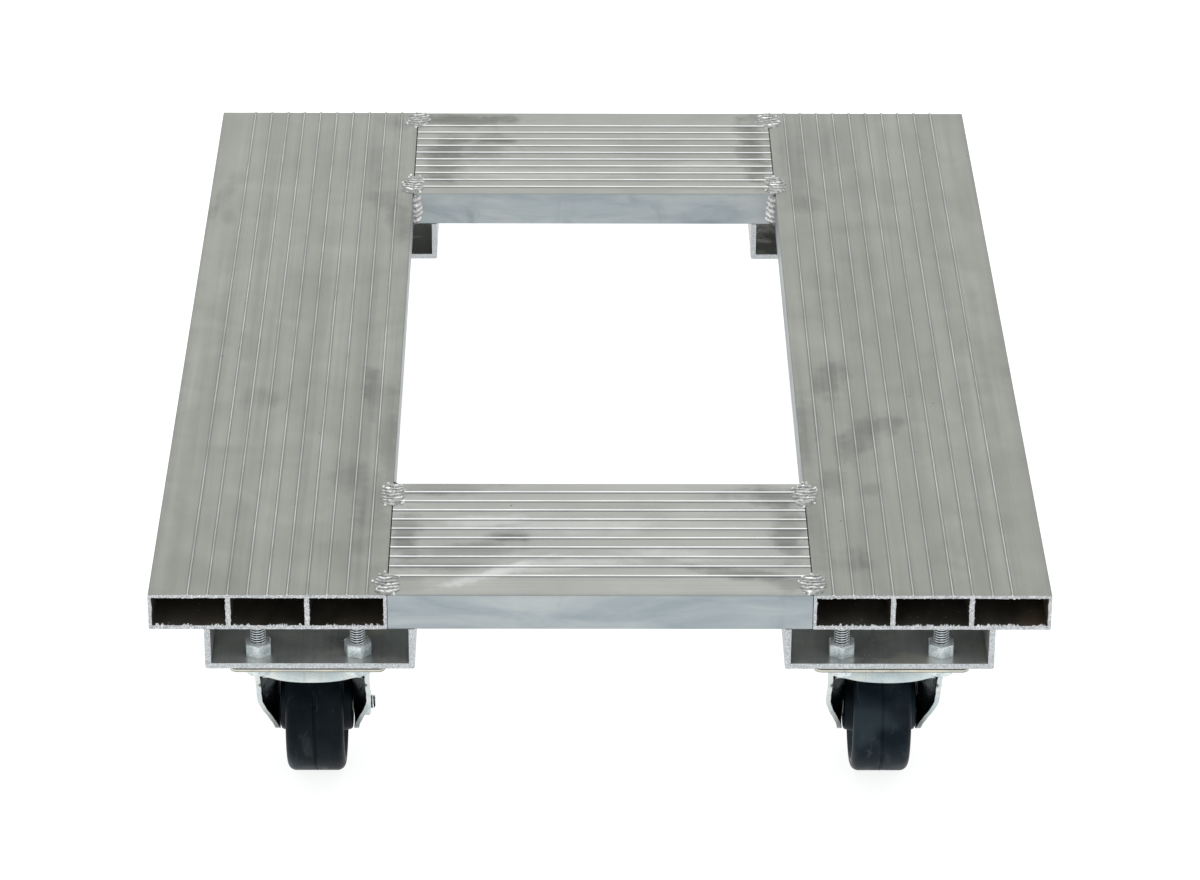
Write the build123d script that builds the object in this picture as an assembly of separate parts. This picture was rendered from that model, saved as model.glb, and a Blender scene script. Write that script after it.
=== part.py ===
from build123d import *
import math
import os

# A furniture dolly: four ribbed, hollow aluminium planks welded into an open rectangular deck,
# four short channels welded under its corners, and a swivel plate caster bolted to each channel.
#
# Frame, in millimetres: X across the deck, Y along it, Z up. The origin is on the floor, under the
# deck's centre. "Front" is the -Y end. Each caster is first made in its own frame: the kingpin is
# its Z axis, z = 0 is the top of its plate, and the wheel trails towards +y.

# ---- Driving dimensions: deck ----
DECK_WIDTH = 457.2
DECK_LENGTH = 609.6
DECK_TOP = 147.4

PLANK_WIDTH = 120.65
PLANK_BODY = 19.7
CELLS = 3
OUTER_WALL = 1.6
TOP_WALL = 1.6
BOTTOM_WALL = 2.0
DIVIDER_WALL = 2.3
CELL_CORNER = 0.5
RIB_COUNT = 10
RIB_HEIGHT = 0.55
RIB_FOOT = 1.5
RIB_CREST = 0.6

CHANNEL_INSET = 27.9
CHANNEL_WIDTH = 106.6
CHANNEL_HEIGHT = 23.0
CHANNEL_WALL = 3.0
CHANNEL_CORNER = 1.2

# ---- Driving dimensions: welds ----
BEAD_RIPPLES = 4
RIPPLE_STEP = 3.2
RIPPLE_RADIUS = 6.0
RIPPLE_CREST = 3.6
RIPPLE_SIDES = 12
BEAD_HEIGHT = 1.7
BEAD_END_GAP = 1.0
FILLET_LEG = 4.5
FILLET_END_GAP = 0.75
STITCH_LEG = 3.5
STITCH_LENGTH = 26.0
STITCH_FROM_END = 18.0

# ---- Driving dimensions: caster plate and its fasteners ----
CASTER_SIDE_INSET = 79.7
CASTER_END_INSET = 52.9
PLATE_X = 79.4
PLATE_Y = 104.8
PLATE_THICK = 2.7
PLATE_CORNER = 4.0
PLATE_EDGE = 0.5
BOLT_SPACING_X = 50.8
BOLT_SPACING_Y = 82.55
BOLT_HOLE = 8.7
SLOT_LENGTH = 13.0

BOLT_RADIUS = 7.94 / 2
BOLT_LENGTH = 22.2
BOLT_END_CHAMFER = 0.7
HEX_FLATS = 12.7
HEX_FACE_INSET = 0.2
HEX_CHAMFER_ANGLE = 30.0
HEAD_HEIGHT = 5.3
NUT_HEIGHT = 6.75
NUT_BORE_RADIUS = 4.0
NUT_TURNS = (38, 8, 30, 33)
HEAD_TURNS = (12, 40, 25, 3)

# ---- Driving dimensions: swivel bearing, in the caster's frame ----
UPPER_BALL_RADIUS = 3.175
UPPER_PITCH_RADIUS = 23.0
UPPER_BALLS = 20
LOWER_BALL_RADIUS = 2.38
LOWER_PITCH_RADIUS = 15.0
LOWER_BALLS = 18
RUNNING_GAP = 0.06
TRACK_GAP = 0.35
TRACK_FIT = 0.02

CROWN_TOP = -7.1
KINGPIN_RADIUS = 6.35
KINGPIN_SHOULDER = 8.0
CUP_TOP = -13.0
CUP_THICK = 2.2
CUP_RADIUS = 19.6
CUP_LIP = 1.5
CUP_CHAMFER = 1.0
RIVET_HEAD_RADIUS = 10.5
RIVET_HEAD_HEIGHT = 3.6

# ---- Driving dimensions: fork, in the caster's frame ----
SHEET = 2.5
CROWN_RADIUS = 29.2
LEG_GAP = 39.3
SHOULDER_MIDDLE = 28.4
SHOULDER_FULL_Z = -18.0
SHOULDER_GONE_Z = -38.0
FLARE_FLAT = 1.0
FLARE_DEPTH_TOP = 11.0
FLARE_DEPTH_FOOT = 6.0
FLARE_FULL_Z = -50.0
FLARE_GONE_Z = -80.0
LEAD_TOP = (-14.0, -27.5)
TAIL_TOP = (24.0, -9.0)
LEG_END_RADIUS = 14.0
LEG_LEVELS = 13
LEG_LEVEL_STEP = 6.4
LEG_MARGIN = 4.0
LEG_POINTS = 12
SLOPE_STEP = 0.01
HOOD_BOTTOM = 22.3
HOOD_LOW = 37.0
HOOD_ARCH_RADIUS = 92.0
HOOD_CORNER = 10.0
INTO_LEG = 0.4
SHELF_SETBACK = 0.8

# ---- Driving dimensions: wheel and axle ----
WHEEL_RADIUS = 36.5
TREAD_WIDTH = 30.6
TREAD_SHOULDER = 4.5
PARTING_HEIGHT = 0.15
PARTING_WIDTH = 0.5
RECESS_DEPTH = 3.0
RECESS_RADIUS = 30.0
RECESS_SLOPE = 2.0
HUB_LENGTH = 38.0
HUB_RADIUS = 14.6
HUB_SLOPE = 1.0
HUB_CORNER = 1.5
TRAIL = 28.6
BUSHING_RADIUS = 6.2
BUSHING_LENGTH = 38.4
AXLE_HOLE_RADIUS = 4.15
AXLE_SEAT_RADIUS = 8.0
AXLE_HEAD_HEIGHT = 3.4
AXLE_NUT_HEIGHT = 6.0
AXLE_END = 30.8
AXLE_TURN = 20

# ---- Derived places ----
PLANK_TOP = DECK_TOP - RIB_HEIGHT
PLANK_BOTTOM = PLANK_TOP - PLANK_BODY
PLATE_TOP = PLANK_BOTTOM - CHANNEL_HEIGHT
RIB_PITCH = PLANK_WIDTH / (RIB_COUNT + 2)
APERTURE_X = DECK_WIDTH - 2 * PLANK_WIDTH
APERTURE_Y = DECK_LENGTH - 2 * PLANK_WIDTH
PLATE_BOTTOM = -PLATE_THICK
CROWN_BOTTOM = CROWN_TOP - SHEET
UPPER_BALL_Z = CROWN_TOP + 2.5
LOWER_BALL_Z = CROWN_BOTTOM - 1.7
CUP_BOTTOM = CUP_TOP - CUP_THICK
CUP_LIP_TOP = CROWN_BOTTOM - 0.8
RIM_TOP = PLATE_BOTTOM - 0.6
AXLE_CENTRE = (TRAIL, WHEEL_RADIUS - PLATE_TOP)
LEG_MIDDLE = LEG_GAP / 2 + SHEET / 2
LEG_OUTER = LEG_GAP / 2 + SHEET
LEG_TOP = CROWN_TOP - 0.3
FLARE = SHOULDER_MIDDLE - LEG_MIDDLE
AXLE_GRIP = LEG_OUTER + RUNNING_GAP
BUSHING_BORE = BOLT_RADIUS + RUNNING_GAP

# Lengths that only have to reach past whatever they cut.
LONG_CUT = 4 * CROWN_RADIUS

# Each corner's side (-1 left, 1 right) and end (-1 front, 1 rear).
CORNERS = {
    "front_left": (-1, -1),
    "front_right": (1, -1),
    "rear_left": (-1, 1),
    "rear_right": (1, 1),
}


def turned(outline):
    """The solid swept by a closed (radius, height) outline about the Z axis."""
    return revolve(Plane.XZ * make_face(Polyline(*outline, close=True)), Axis.Z)


def ring_of(solid, radius, height, count):
    """Copies of a solid evenly spaced on a circle about the Z axis."""
    places = [Rot(0, 0, 360 * i / count) * Pos(radius, 0, height) for i in range(count)]
    return [place * solid for place in places]


# ---- Deck ----
def plank_profile():
    """A plank's section: x from its outer edge to its inner edge, y up from its underside.
    The smooth margin, two rib pitches wide, is along the outer edge."""
    section = Rectangle(PLANK_WIDTH, PLANK_BODY, align=(Align.MIN, Align.MIN))
    for i in range(RIB_COUNT):
        rib = Polyline(
            (-RIB_FOOT / 2, 0),
            (RIB_FOOT / 2, 0),
            (RIB_CREST / 2, RIB_HEIGHT),
            (-RIB_CREST / 2, RIB_HEIGHT),
            close=True,
        )
        section += Pos((i + 2) * RIB_PITCH, PLANK_BODY) * make_face(rib)
    cell_width = (PLANK_WIDTH - 2 * OUTER_WALL - (CELLS - 1) * DIVIDER_WALL) / CELLS
    cell_height = PLANK_BODY - TOP_WALL - BOTTOM_WALL
    for i in range(CELLS):
        middle = OUTER_WALL + cell_width / 2 + i * (cell_width + DIVIDER_WALL)
        cell = RectangleRounded(cell_width, cell_height, CELL_CORNER)
        section -= Pos(middle, BOTTOM_WALL + cell_height / 2) * cell
    return section


def side_plank(side):
    """A full-length plank; side is -1 for the left one and 1 for the right one."""
    start = Plane(
        origin=(side * DECK_WIDTH / 2, -side * DECK_LENGTH / 2, PLANK_BOTTOM),
        x_dir=(-side, 0, 0),
        z_dir=(0, side, 0),
    )
    return extrude(start * plank_profile(), DECK_LENGTH)


def cross_plank(end):
    """A plank between the side planks; end is -1 at the front and 1 at the rear."""
    start = Plane(
        origin=(end * APERTURE_X / 2, end * DECK_LENGTH / 2, PLANK_BOTTOM),
        x_dir=(0, -end, 0),
        z_dir=(-end, 0, 0),
    )
    return extrude(start * plank_profile(), APERTURE_X)


def bolt_places():
    """The four bolt axes, as (x, y) in the caster's frame."""
    half_x, half_y = BOLT_SPACING_X / 2, BOLT_SPACING_Y / 2
    return [(x, y) for x in (-half_x, half_x) for y in (-half_y, half_y)]


def channel(side, end):
    """A channel under one corner, open side up, with its four bolt holes."""
    section = Rectangle(CHANNEL_WIDTH, CHANNEL_HEIGHT, align=(Align.CENTER, Align.MIN))
    section = fillet(section.vertices().group_by(Axis.Y)[0], CHANNEL_CORNER)
    inner = Rectangle(
        CHANNEL_WIDTH - 2 * CHANNEL_WALL, CHANNEL_HEIGHT, align=(Align.CENTER, Align.MIN)
    )
    section -= Pos(0, CHANNEL_WALL) * inner
    middle_x = side * (DECK_WIDTH / 2 - CHANNEL_INSET - CHANNEL_WIDTH / 2)
    near_y = end * DECK_LENGTH / 2 if end < 0 else DECK_LENGTH / 2 - PLANK_WIDTH
    start = Plane(origin=(middle_x, near_y, PLATE_TOP), x_dir=(-1, 0, 0), z_dir=(0, 1, 0))
    body = extrude(start * section, PLANK_WIDTH)
    for x, y in bolt_places():
        hole = Cylinder(BOLT_HOLE / 2, 3 * CHANNEL_WALL)
        body -= caster_place(side, end) * Pos(x, y, CHANNEL_WALL / 2) * hole
    return body


# ---- Welds ----


def ripple():
    """One ripple of a weld bead: a low, many-sided cap standing on z = 0."""
    foot = RegularPolygon(RIPPLE_RADIUS, RIPPLE_SIDES, rotation=180 / RIPPLE_SIDES)
    crest = RegularPolygon(RIPPLE_CREST, RIPPLE_SIDES, rotation=180 / RIPPLE_SIDES)
    return loft([foot, Pos(0, 0, BEAD_HEIGHT) * crest])


def deck_bead():
    """One short bead along a seam: overlapping ripples in a row along Y, on z = 0."""
    bead = Part()
    for i in range(BEAD_RIPPLES):
        y = (i - (BEAD_RIPPLES - 1) / 2) * RIPPLE_STEP
        bead += Pos(0, y, 0) * ripple()
    return bead


def deck_beads(planks):
    """Two beads on top of each of the four seams between side and cross planks."""
    half_length = (BEAD_RIPPLES - 1) / 2 * RIPPLE_STEP + RIPPLE_RADIUS
    end_y = DECK_LENGTH / 2 - half_length
    inner_y = DECK_LENGTH / 2 - PLANK_WIDTH + half_length + BEAD_END_GAP
    bead = deck_bead()
    beads = []
    for side in (-1, 1):
        for y in (-end_y, -inner_y, inner_y, end_y):
            placed = Pos(side * APERTURE_X / 2, y, PLANK_TOP) * bead
            for plank in planks:
                placed -= plank
            beads.append(placed)
    return beads


def corner_fillets():
    """An upright fillet weld in each corner of the deck's opening."""
    wedge = make_face(Polyline((0, 0), (FILLET_LEG, 0), (0, FILLET_LEG), close=True))
    upright = extrude(wedge, PLANK_BODY - 2 * FILLET_END_GAP)
    return [
        Pos(x * APERTURE_X / 2, y * APERTURE_Y / 2, PLANK_BOTTOM + FILLET_END_GAP)
        * Rot(0, 0, turn)
        * upright
        for x, y, turn in ((-1, -1, 0), (1, -1, 90), (1, 1, 180), (-1, 1, 270))
    ]


def channel_stitches():
    """Short fillet welds between the channels' outer faces and the planks' undersides."""
    wedge = make_face(Polyline((0, 0), (STITCH_LEG, 0), (0, -STITCH_LEG), close=True))
    stitch = extrude(Plane.XZ * wedge, STITCH_LENGTH / 2, both=True)
    far = CHANNEL_INSET + CHANNEL_WIDTH
    stitches = []
    for side, end in CORNERS.values():
        for from_end in (STITCH_FROM_END, PLANK_WIDTH - STITCH_FROM_END):
            y = end * (DECK_LENGTH / 2 - from_end)
            for inset, turn in ((CHANNEL_INSET, 0), (far, 180)):
                x = side * (DECK_WIDTH / 2 - inset)
                facing = turn if side > 0 else 180 - turn
                stitches.append(Pos(x, y, PLANK_BOTTOM) * Rot(0, 0, facing) * stitch)
    return stitches


# ---- Caster: fixed half ----
def caster_place(side, end):
    """Where a caster stands. Every wheel trails towards the middle of the deck."""
    x = side * (DECK_WIDTH / 2 - CASTER_SIDE_INSET)
    y = end * (DECK_LENGTH / 2 - CASTER_END_INSET)
    return Pos(x, y, PLATE_TOP) * Rot(0, 0, 0 if end < 0 else 180)


def caster_plate():
    """The flat top plate: slotted bolt holes, a kingpin hole and the upper ball track."""
    blank = Box(PLATE_X, PLATE_Y, PLATE_THICK, align=(Align.CENTER, Align.CENTER, Align.MAX))
    blank = fillet(blank.edges().filter_by(Axis.Z), PLATE_CORNER)
    blank = fillet(blank.faces().sort_by(Axis.Z)[0].outer_wire().edges(), PLATE_EDGE)
    for x, y in bolt_places():
        slot = Rot(0, 0, 90) * SlotOverall(SLOT_LENGTH, BOLT_HOLE)
        blank -= Pos(x, y, 0) * extrude(slot, PLATE_THICK, both=True)
    blank -= Cylinder(KINGPIN_RADIUS, LONG_CUT)
    track = Torus(UPPER_PITCH_RADIUS, UPPER_BALL_RADIUS + TRACK_GAP)
    return blank - Pos(0, 0, UPPER_BALL_Z) * track


def kingpin():
    """The rivet that holds the caster together, with a shoulder that spaces the lower cup."""
    stem = turned(
        [
            (0, 0),
            (KINGPIN_RADIUS, 0),
            (KINGPIN_RADIUS, PLATE_BOTTOM),
            (KINGPIN_SHOULDER, PLATE_BOTTOM),
            (KINGPIN_SHOULDER, CUP_TOP),
            (KINGPIN_RADIUS, CUP_TOP),
            (KINGPIN_RADIUS, CUP_BOTTOM),
            (0, CUP_BOTTOM),
        ]
    )
    ball = (RIVET_HEAD_RADIUS**2 + RIVET_HEAD_HEIGHT**2) / (2 * RIVET_HEAD_HEIGHT)
    dome = Pos(0, 0, CUP_BOTTOM - RIVET_HEAD_HEIGHT + ball) * Sphere(ball)
    dome &= Pos(0, 0, CUP_BOTTOM) * Cylinder(
        RIVET_HEAD_RADIUS, RIVET_HEAD_HEIGHT, align=(Align.CENTER, Align.CENTER, Align.MAX)
    )
    return stem + dome


def lower_cup():
    """The dished washer under the fork's crown, which carries the lower ball track."""
    cup = turned(
        [
            (KINGPIN_RADIUS, CUP_TOP),
            (CUP_RADIUS - CUP_LIP, CUP_TOP),
            (CUP_RADIUS - CUP_LIP, CUP_LIP_TOP),
            (CUP_RADIUS, CUP_LIP_TOP),
            (CUP_RADIUS, CUP_BOTTOM + CUP_CHAMFER),
            (CUP_RADIUS - CUP_CHAMFER, CUP_BOTTOM),
            (KINGPIN_RADIUS, CUP_BOTTOM),
        ]
    )
    track = Torus(LOWER_PITCH_RADIUS, LOWER_BALL_RADIUS + TRACK_GAP)
    return cup - Pos(0, 0, LOWER_BALL_Z) * track


# ---- Caster: swivelling half ----


def smooth_step(t):
    """0 below t = 0, 1 above t = 1, and a smooth rise between."""
    t = min(max(t, 0.0), 1.0)
    return t * t * (3 - 2 * t)


def tangent_point(start, side):
    """Where the line from start touches the leg's round end; side is -1 for its front."""
    dy, dz = AXLE_CENTRE[0] - start[0], AXLE_CENTRE[1] - start[1]
    reach = math.hypot(dy, dz)
    angle = math.atan2(dz, dy) + side * math.asin(LEG_END_RADIUS / reach)
    length = math.sqrt(reach**2 - LEG_END_RADIUS**2)
    return (start[0] + length * math.cos(angle), start[1] + length * math.sin(angle))


LEAD_FOOT = tangent_point(LEAD_TOP, -1)
TAIL_FOOT = tangent_point(TAIL_TOP, 1)


def lead_y(z):
    """The y of the leg's leading edge at a height."""
    slope = (LEAD_FOOT[0] - LEAD_TOP[0]) / (LEAD_FOOT[1] - LEAD_TOP[1])
    return LEAD_TOP[0] + (z - LEAD_TOP[1]) * slope


def leg_x(y, z):
    """The leg sheet's middle surface. It stands wide under the crown and along its leading
    edge, and steps in to a flat cheek beside the wheel."""
    taper = smooth_step((z - FLARE_FULL_Z) / (FLARE_GONE_Z - FLARE_FULL_Z))
    depth = FLARE_DEPTH_TOP + taper * (FLARE_DEPTH_FOOT - FLARE_DEPTH_TOP)
    edge = (1 - taper) * (1 - smooth_step((y - lead_y(z) - FLARE_FLAT) / depth))
    top = 1 - smooth_step((z - SHOULDER_FULL_Z) / (SHOULDER_GONE_Z - SHOULDER_FULL_Z))
    return LEG_MIDDLE + FLARE * (1 - (1 - edge) * (1 - top))


def leg_section(z, y_from, y_to):
    """A level slice through the leg's sheet, as a face."""
    outer, inner = [], []
    for i in range(LEG_POINTS + 1):
        y = y_from + (y_to - y_from) * i / LEG_POINTS
        x = leg_x(y, z)
        slope = (leg_x(y + SLOPE_STEP, z) - leg_x(y - SLOPE_STEP, z)) / (2 * SLOPE_STEP)
        scale = SHEET / 2 / math.hypot(1, slope)
        outer.append((x + scale, y - slope * scale, z))
        inner.append((x - scale, y + slope * scale, z))
    loop = [
        Spline(*outer),
        Line(outer[-1], inner[-1]),
        Spline(*reversed(inner)),
        Line(inner[0], outer[0]),
    ]
    return make_face(loop)


def leg_side_face():
    """The leg seen from the side, in (y, z): straight edges down to a round end."""
    bottom = (AXLE_CENTRE[0], AXLE_CENTRE[1] - LEG_END_RADIUS)
    top_front = (LEAD_TOP[0], LEG_TOP)
    top_rear = (TAIL_TOP[0], LEG_TOP)
    outline = [
        Line(top_front, LEAD_TOP),
        Line(LEAD_TOP, LEAD_FOOT),
        ThreePointArc(LEAD_FOOT, bottom, TAIL_FOOT),
        Line(TAIL_FOOT, TAIL_TOP),
        Line(TAIL_TOP, top_rear),
        Line(top_rear, top_front),
    ]
    return make_face(outline)


def fork_leg():
    """The right-hand leg: the flared sheet, cut to its side outline."""
    heights = [CROWN_TOP + 1 - LEG_LEVEL_STEP * i for i in range(LEG_LEVELS)]
    front = LEAD_TOP[0] - LEG_MARGIN
    rear = AXLE_CENTRE[0] + LEG_END_RADIUS + LEG_MARGIN
    sheet = loft([leg_section(z, front, rear) for z in heights])
    return sheet & extrude(Plane.YZ * leg_side_face(), 2 * CROWN_RADIUS)


def hood():
    """The wall that joins the two legs at the front, over a gently arched opening."""
    ring = turned(
        [
            (CROWN_RADIUS - SHEET, CROWN_TOP),
            (CROWN_RADIUS, CROWN_TOP),
            (CROWN_RADIUS, -HOOD_LOW),
            (CROWN_RADIUS - SHEET, -HOOD_LOW),
        ]
    )
    ring &= Box(LONG_CUT, LONG_CUT, LONG_CUT, align=(Align.CENTER, Align.MAX, Align.CENTER))
    half = SHOULDER_MIDDLE - SHEET / 2 + INTO_LEG
    opening = Pos(0, -HOOD_BOTTOM - HOOD_ARCH_RADIUS) * Circle(HOOD_ARCH_RADIUS)
    opening &= Rectangle(2 * half, LONG_CUT)
    opening = fillet(opening.vertices().group_by(Axis.Y)[-1], HOOD_CORNER)
    return ring - extrude(Plane.XZ * opening, LONG_CUT)


def fork():
    """The pressed fork: a crown with both ball tracks, a turned-up rim, a hood and two legs."""
    crown = turned(
        [
            (KINGPIN_SHOULDER + RUNNING_GAP, CROWN_BOTTOM),
            (CROWN_RADIUS, CROWN_BOTTOM),
            (CROWN_RADIUS, RIM_TOP),
            (CROWN_RADIUS - SHEET, RIM_TOP),
            (CROWN_RADIUS - SHEET, CROWN_TOP),
            (KINGPIN_SHOULDER + RUNNING_GAP, CROWN_TOP),
        ]
    )
    wide = 2 * (SHOULDER_MIDDLE + INTO_LEG)
    long = TAIL_TOP[0] - LEAD_TOP[0] - 2 * SHELF_SETBACK
    shelf = Box(wide, long, SHEET, align=(Align.CENTER, Align.MIN, Align.MAX))
    shelf = Pos(0, LEAD_TOP[0] + SHELF_SETBACK, CROWN_TOP) * shelf
    shelf -= Cylinder(CROWN_RADIUS - SHEET / 2, LONG_CUT)
    leg = fork_leg()
    body = crown + shelf + hood() + leg + mirror(leg, about=Plane.YZ)
    body -= Pos(0, 0, UPPER_BALL_Z) * Torus(UPPER_PITCH_RADIUS, UPPER_BALL_RADIUS + TRACK_FIT)
    body -= Pos(0, 0, LOWER_BALL_Z) * Torus(LOWER_PITCH_RADIUS, LOWER_BALL_RADIUS + TRACK_FIT)
    hole = Rot(0, 90, 0) * Cylinder(AXLE_HOLE_RADIUS, LONG_CUT)
    body -= Pos(0, *AXLE_CENTRE) * hole
    seat = Rot(0, 90, 0) * Cylinder(AXLE_SEAT_RADIUS, 2 * SHEET)
    for side in (-1, 1):
        body -= Pos(side * (LEG_OUTER + SHEET), *AXLE_CENTRE) * seat
    return body


def hexagon(height, chamfer_top, chamfer_bottom, bore=None):
    """A hexagonal prism standing on z = 0 with its corners rounded off at either end."""
    corner = HEX_FLATS / math.sqrt(3)
    past_corner = corner + HEX_FACE_INSET
    face = HEX_FLATS / 2 - HEX_FACE_INSET
    drop = (past_corner - face) * math.tan(math.radians(HEX_CHAMFER_ANGLE))
    rounding = [(0, 0), (face if chamfer_bottom else past_corner, 0)]
    if chamfer_bottom:
        rounding.append((past_corner, drop))
    if chamfer_top:
        rounding.append((past_corner, height - drop))
    rounding += [(face if chamfer_top else past_corner, height), (0, height)]
    body = extrude(RegularPolygon(HEX_FLATS / 2, 6, major_radius=False), height)
    body &= turned(rounding)
    if bore:
        body -= Cylinder(bore, LONG_CUT)
    return body


def bolt(length, head_height):
    """A hex bolt: the underside of its head is on z = 0 and its shank points to +z."""
    head = Pos(0, 0, -head_height) * hexagon(head_height, False, True)
    shank = Cylinder(BOLT_RADIUS, length, align=(Align.CENTER, Align.CENTER, Align.MIN))
    shank = chamfer(shank.faces().sort_by(Axis.Z)[-1].edges(), BOLT_END_CHAMFER)
    return head + shank


def mounting_bolts():
    """The four bolts of one caster, heads under its plate."""
    one = bolt(BOLT_LENGTH, HEAD_HEIGHT)
    places = zip(bolt_places(), HEAD_TURNS)
    return [Pos(x, y, PLATE_BOTTOM) * Rot(0, 0, turn) * one for (x, y), turn in places]


def mounting_nuts():
    """The four nuts of one caster, standing on the channel's web."""
    one = hexagon(NUT_HEIGHT, True, False, bore=NUT_BORE_RADIUS)
    places = zip(bolt_places(), NUT_TURNS)
    return [Pos(x, y, CHANNEL_WALL) * Rot(0, 0, turn) * one for (x, y), turn in places]


def axle_bolt():
    """The wheel's axle: a low-headed bolt through both legs, head on the left."""
    pin = bolt(AXLE_GRIP + AXLE_END, AXLE_HEAD_HEIGHT)
    return Pos(-AXLE_GRIP, *AXLE_CENTRE) * Rot(0, 90, 0) * Rot(0, 0, AXLE_TURN) * pin


def axle_nut():
    """The nut on the axle's right-hand end."""
    nut = hexagon(AXLE_NUT_HEIGHT, True, False, bore=NUT_BORE_RADIUS)
    return Pos(AXLE_GRIP, *AXLE_CENTRE) * Rot(0, 90, 0) * Rot(0, 0, AXLE_TURN) * nut


# ---- Wheel ----


def wheel():
    """A solid rubber wheel: round-shouldered tread with a fine parting line, recessed
    sides and a raised hub."""
    half, shoulder = TREAD_WIDTH / 2, TREAD_SHOULDER
    tread = WHEEL_RADIUS - PARTING_HEIGHT
    knee = shoulder * (1 - math.sqrt(0.5))
    recess = half - RECESS_DEPTH
    hub = HUB_LENGTH / 2
    outline = [
        Line((0, WHEEL_RADIUS), (PARTING_WIDTH / 2, WHEEL_RADIUS)),
        Line((PARTING_WIDTH / 2, WHEEL_RADIUS), (PARTING_WIDTH, tread)),
        Line((PARTING_WIDTH, tread), (half - shoulder, tread)),
        ThreePointArc(
            (half - shoulder, tread), (half - knee, tread - knee), (half, tread - shoulder)
        ),
        Line((half, tread - shoulder), (half, RECESS_RADIUS)),
        Line((half, RECESS_RADIUS), (recess, RECESS_RADIUS - RECESS_SLOPE)),
        Line((recess, RECESS_RADIUS - RECESS_SLOPE), (recess, HUB_RADIUS + HUB_SLOPE)),
        Line((recess, HUB_RADIUS + HUB_SLOPE), (hub - HUB_CORNER, HUB_RADIUS)),
        Line((hub - HUB_CORNER, HUB_RADIUS), (hub, HUB_RADIUS - HUB_CORNER)),
        Line((hub, HUB_RADIUS - HUB_CORNER), (hub, BUSHING_RADIUS)),
        Line((hub, BUSHING_RADIUS), (0, BUSHING_RADIUS)),
        Line((0, BUSHING_RADIUS), (0, WHEEL_RADIUS)),
    ]
    half_wheel = revolve(make_face(outline), Axis.X)
    whole = half_wheel + mirror(half_wheel, about=Plane.YZ)
    return Pos(0, *AXLE_CENTRE) * whole


def bushing():
    """The steel sleeve in the wheel's hub, which turns on the axle."""
    sleeve = Cylinder(BUSHING_RADIUS, BUSHING_LENGTH) - Cylinder(BUSHING_BORE, 2 * BUSHING_LENGTH)
    return Pos(0, *AXLE_CENTRE) * Rot(0, 90, 0) * sleeve


# ---- Assembly ----
def caster_nodes():
    """One caster's pieces in its own frame, each as a list of solids."""
    upper = Sphere(UPPER_BALL_RADIUS)
    lower = Sphere(LOWER_BALL_RADIUS)
    return {
        "caster_plate": [caster_plate()],
        "kingpin": [kingpin()],
        "lower_cup": [lower_cup()],
        "upper_balls": ring_of(upper, UPPER_PITCH_RADIUS, UPPER_BALL_Z, UPPER_BALLS),
        "lower_balls": ring_of(lower, LOWER_PITCH_RADIUS, LOWER_BALL_Z, LOWER_BALLS),
        "fork": [fork()],
        "axle_bolt": [axle_bolt()],
        "axle_nut": [axle_nut()],
        "wheel": [wheel()],
        "wheel_bushing": [bushing()],
        "mounting_bolts": mounting_bolts(),
        "mounting_nuts": mounting_nuts(),
    }


def all_nodes():
    """Every node of the dolly, by name, as a list of solids."""
    nodes = {
        "side_plank_left": [side_plank(-1)],
        "side_plank_right": [side_plank(1)],
        "cross_plank_front": [cross_plank(-1)],
        "cross_plank_rear": [cross_plank(1)],
    }
    planks = [solids[0] for solids in nodes.values()]
    nodes["deck_weld_beads"] = deck_beads(planks)
    nodes["opening_corner_welds"] = corner_fillets()
    nodes["channel_weld_stitches"] = channel_stitches()
    caster = caster_nodes()
    for corner, (side, end) in CORNERS.items():
        nodes["channel_" + corner] = [channel(side, end)]
        place = caster_place(side, end)
        for name, solids in caster.items():
            nodes[name + "_" + corner] = [place * solid for solid in solids]
    return nodes


os.makedirs("parts", exist_ok=True)
for name, solids in all_nodes().items():
    shape = solids[0] if len(solids) == 1 else Compound(children=solids)
    export_step(shape, os.path.join("parts", name + ".step"))
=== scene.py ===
import itertools
import math
import random

import bmesh
import bpy
from mathutils import Matrix, Vector, noise
from mathutils.geometry import tessellate_polygon


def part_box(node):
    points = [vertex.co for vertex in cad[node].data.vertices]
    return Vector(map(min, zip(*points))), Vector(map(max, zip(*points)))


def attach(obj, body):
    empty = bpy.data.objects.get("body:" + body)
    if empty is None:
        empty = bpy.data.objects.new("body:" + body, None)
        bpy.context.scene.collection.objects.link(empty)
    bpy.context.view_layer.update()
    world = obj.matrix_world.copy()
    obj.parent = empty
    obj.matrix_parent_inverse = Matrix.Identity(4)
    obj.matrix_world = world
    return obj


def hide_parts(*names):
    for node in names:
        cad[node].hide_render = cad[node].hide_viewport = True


# The furniture dolly's looks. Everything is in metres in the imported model's frame: X across the
# deck, Y along it with the front at -Y, Z up, the floor at z = 0.

MM = 0.001

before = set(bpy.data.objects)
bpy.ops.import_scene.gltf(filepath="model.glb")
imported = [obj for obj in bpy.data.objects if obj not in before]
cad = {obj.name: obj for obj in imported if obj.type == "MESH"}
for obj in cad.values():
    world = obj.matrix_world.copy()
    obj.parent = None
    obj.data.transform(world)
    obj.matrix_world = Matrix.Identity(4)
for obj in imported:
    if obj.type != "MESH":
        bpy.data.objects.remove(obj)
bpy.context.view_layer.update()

CORNERS = {
    "front_left": (-1, -1),
    "front_right": (1, -1),
    "rear_left": (-1, 1),
    "rear_right": (1, 1),
}


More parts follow.
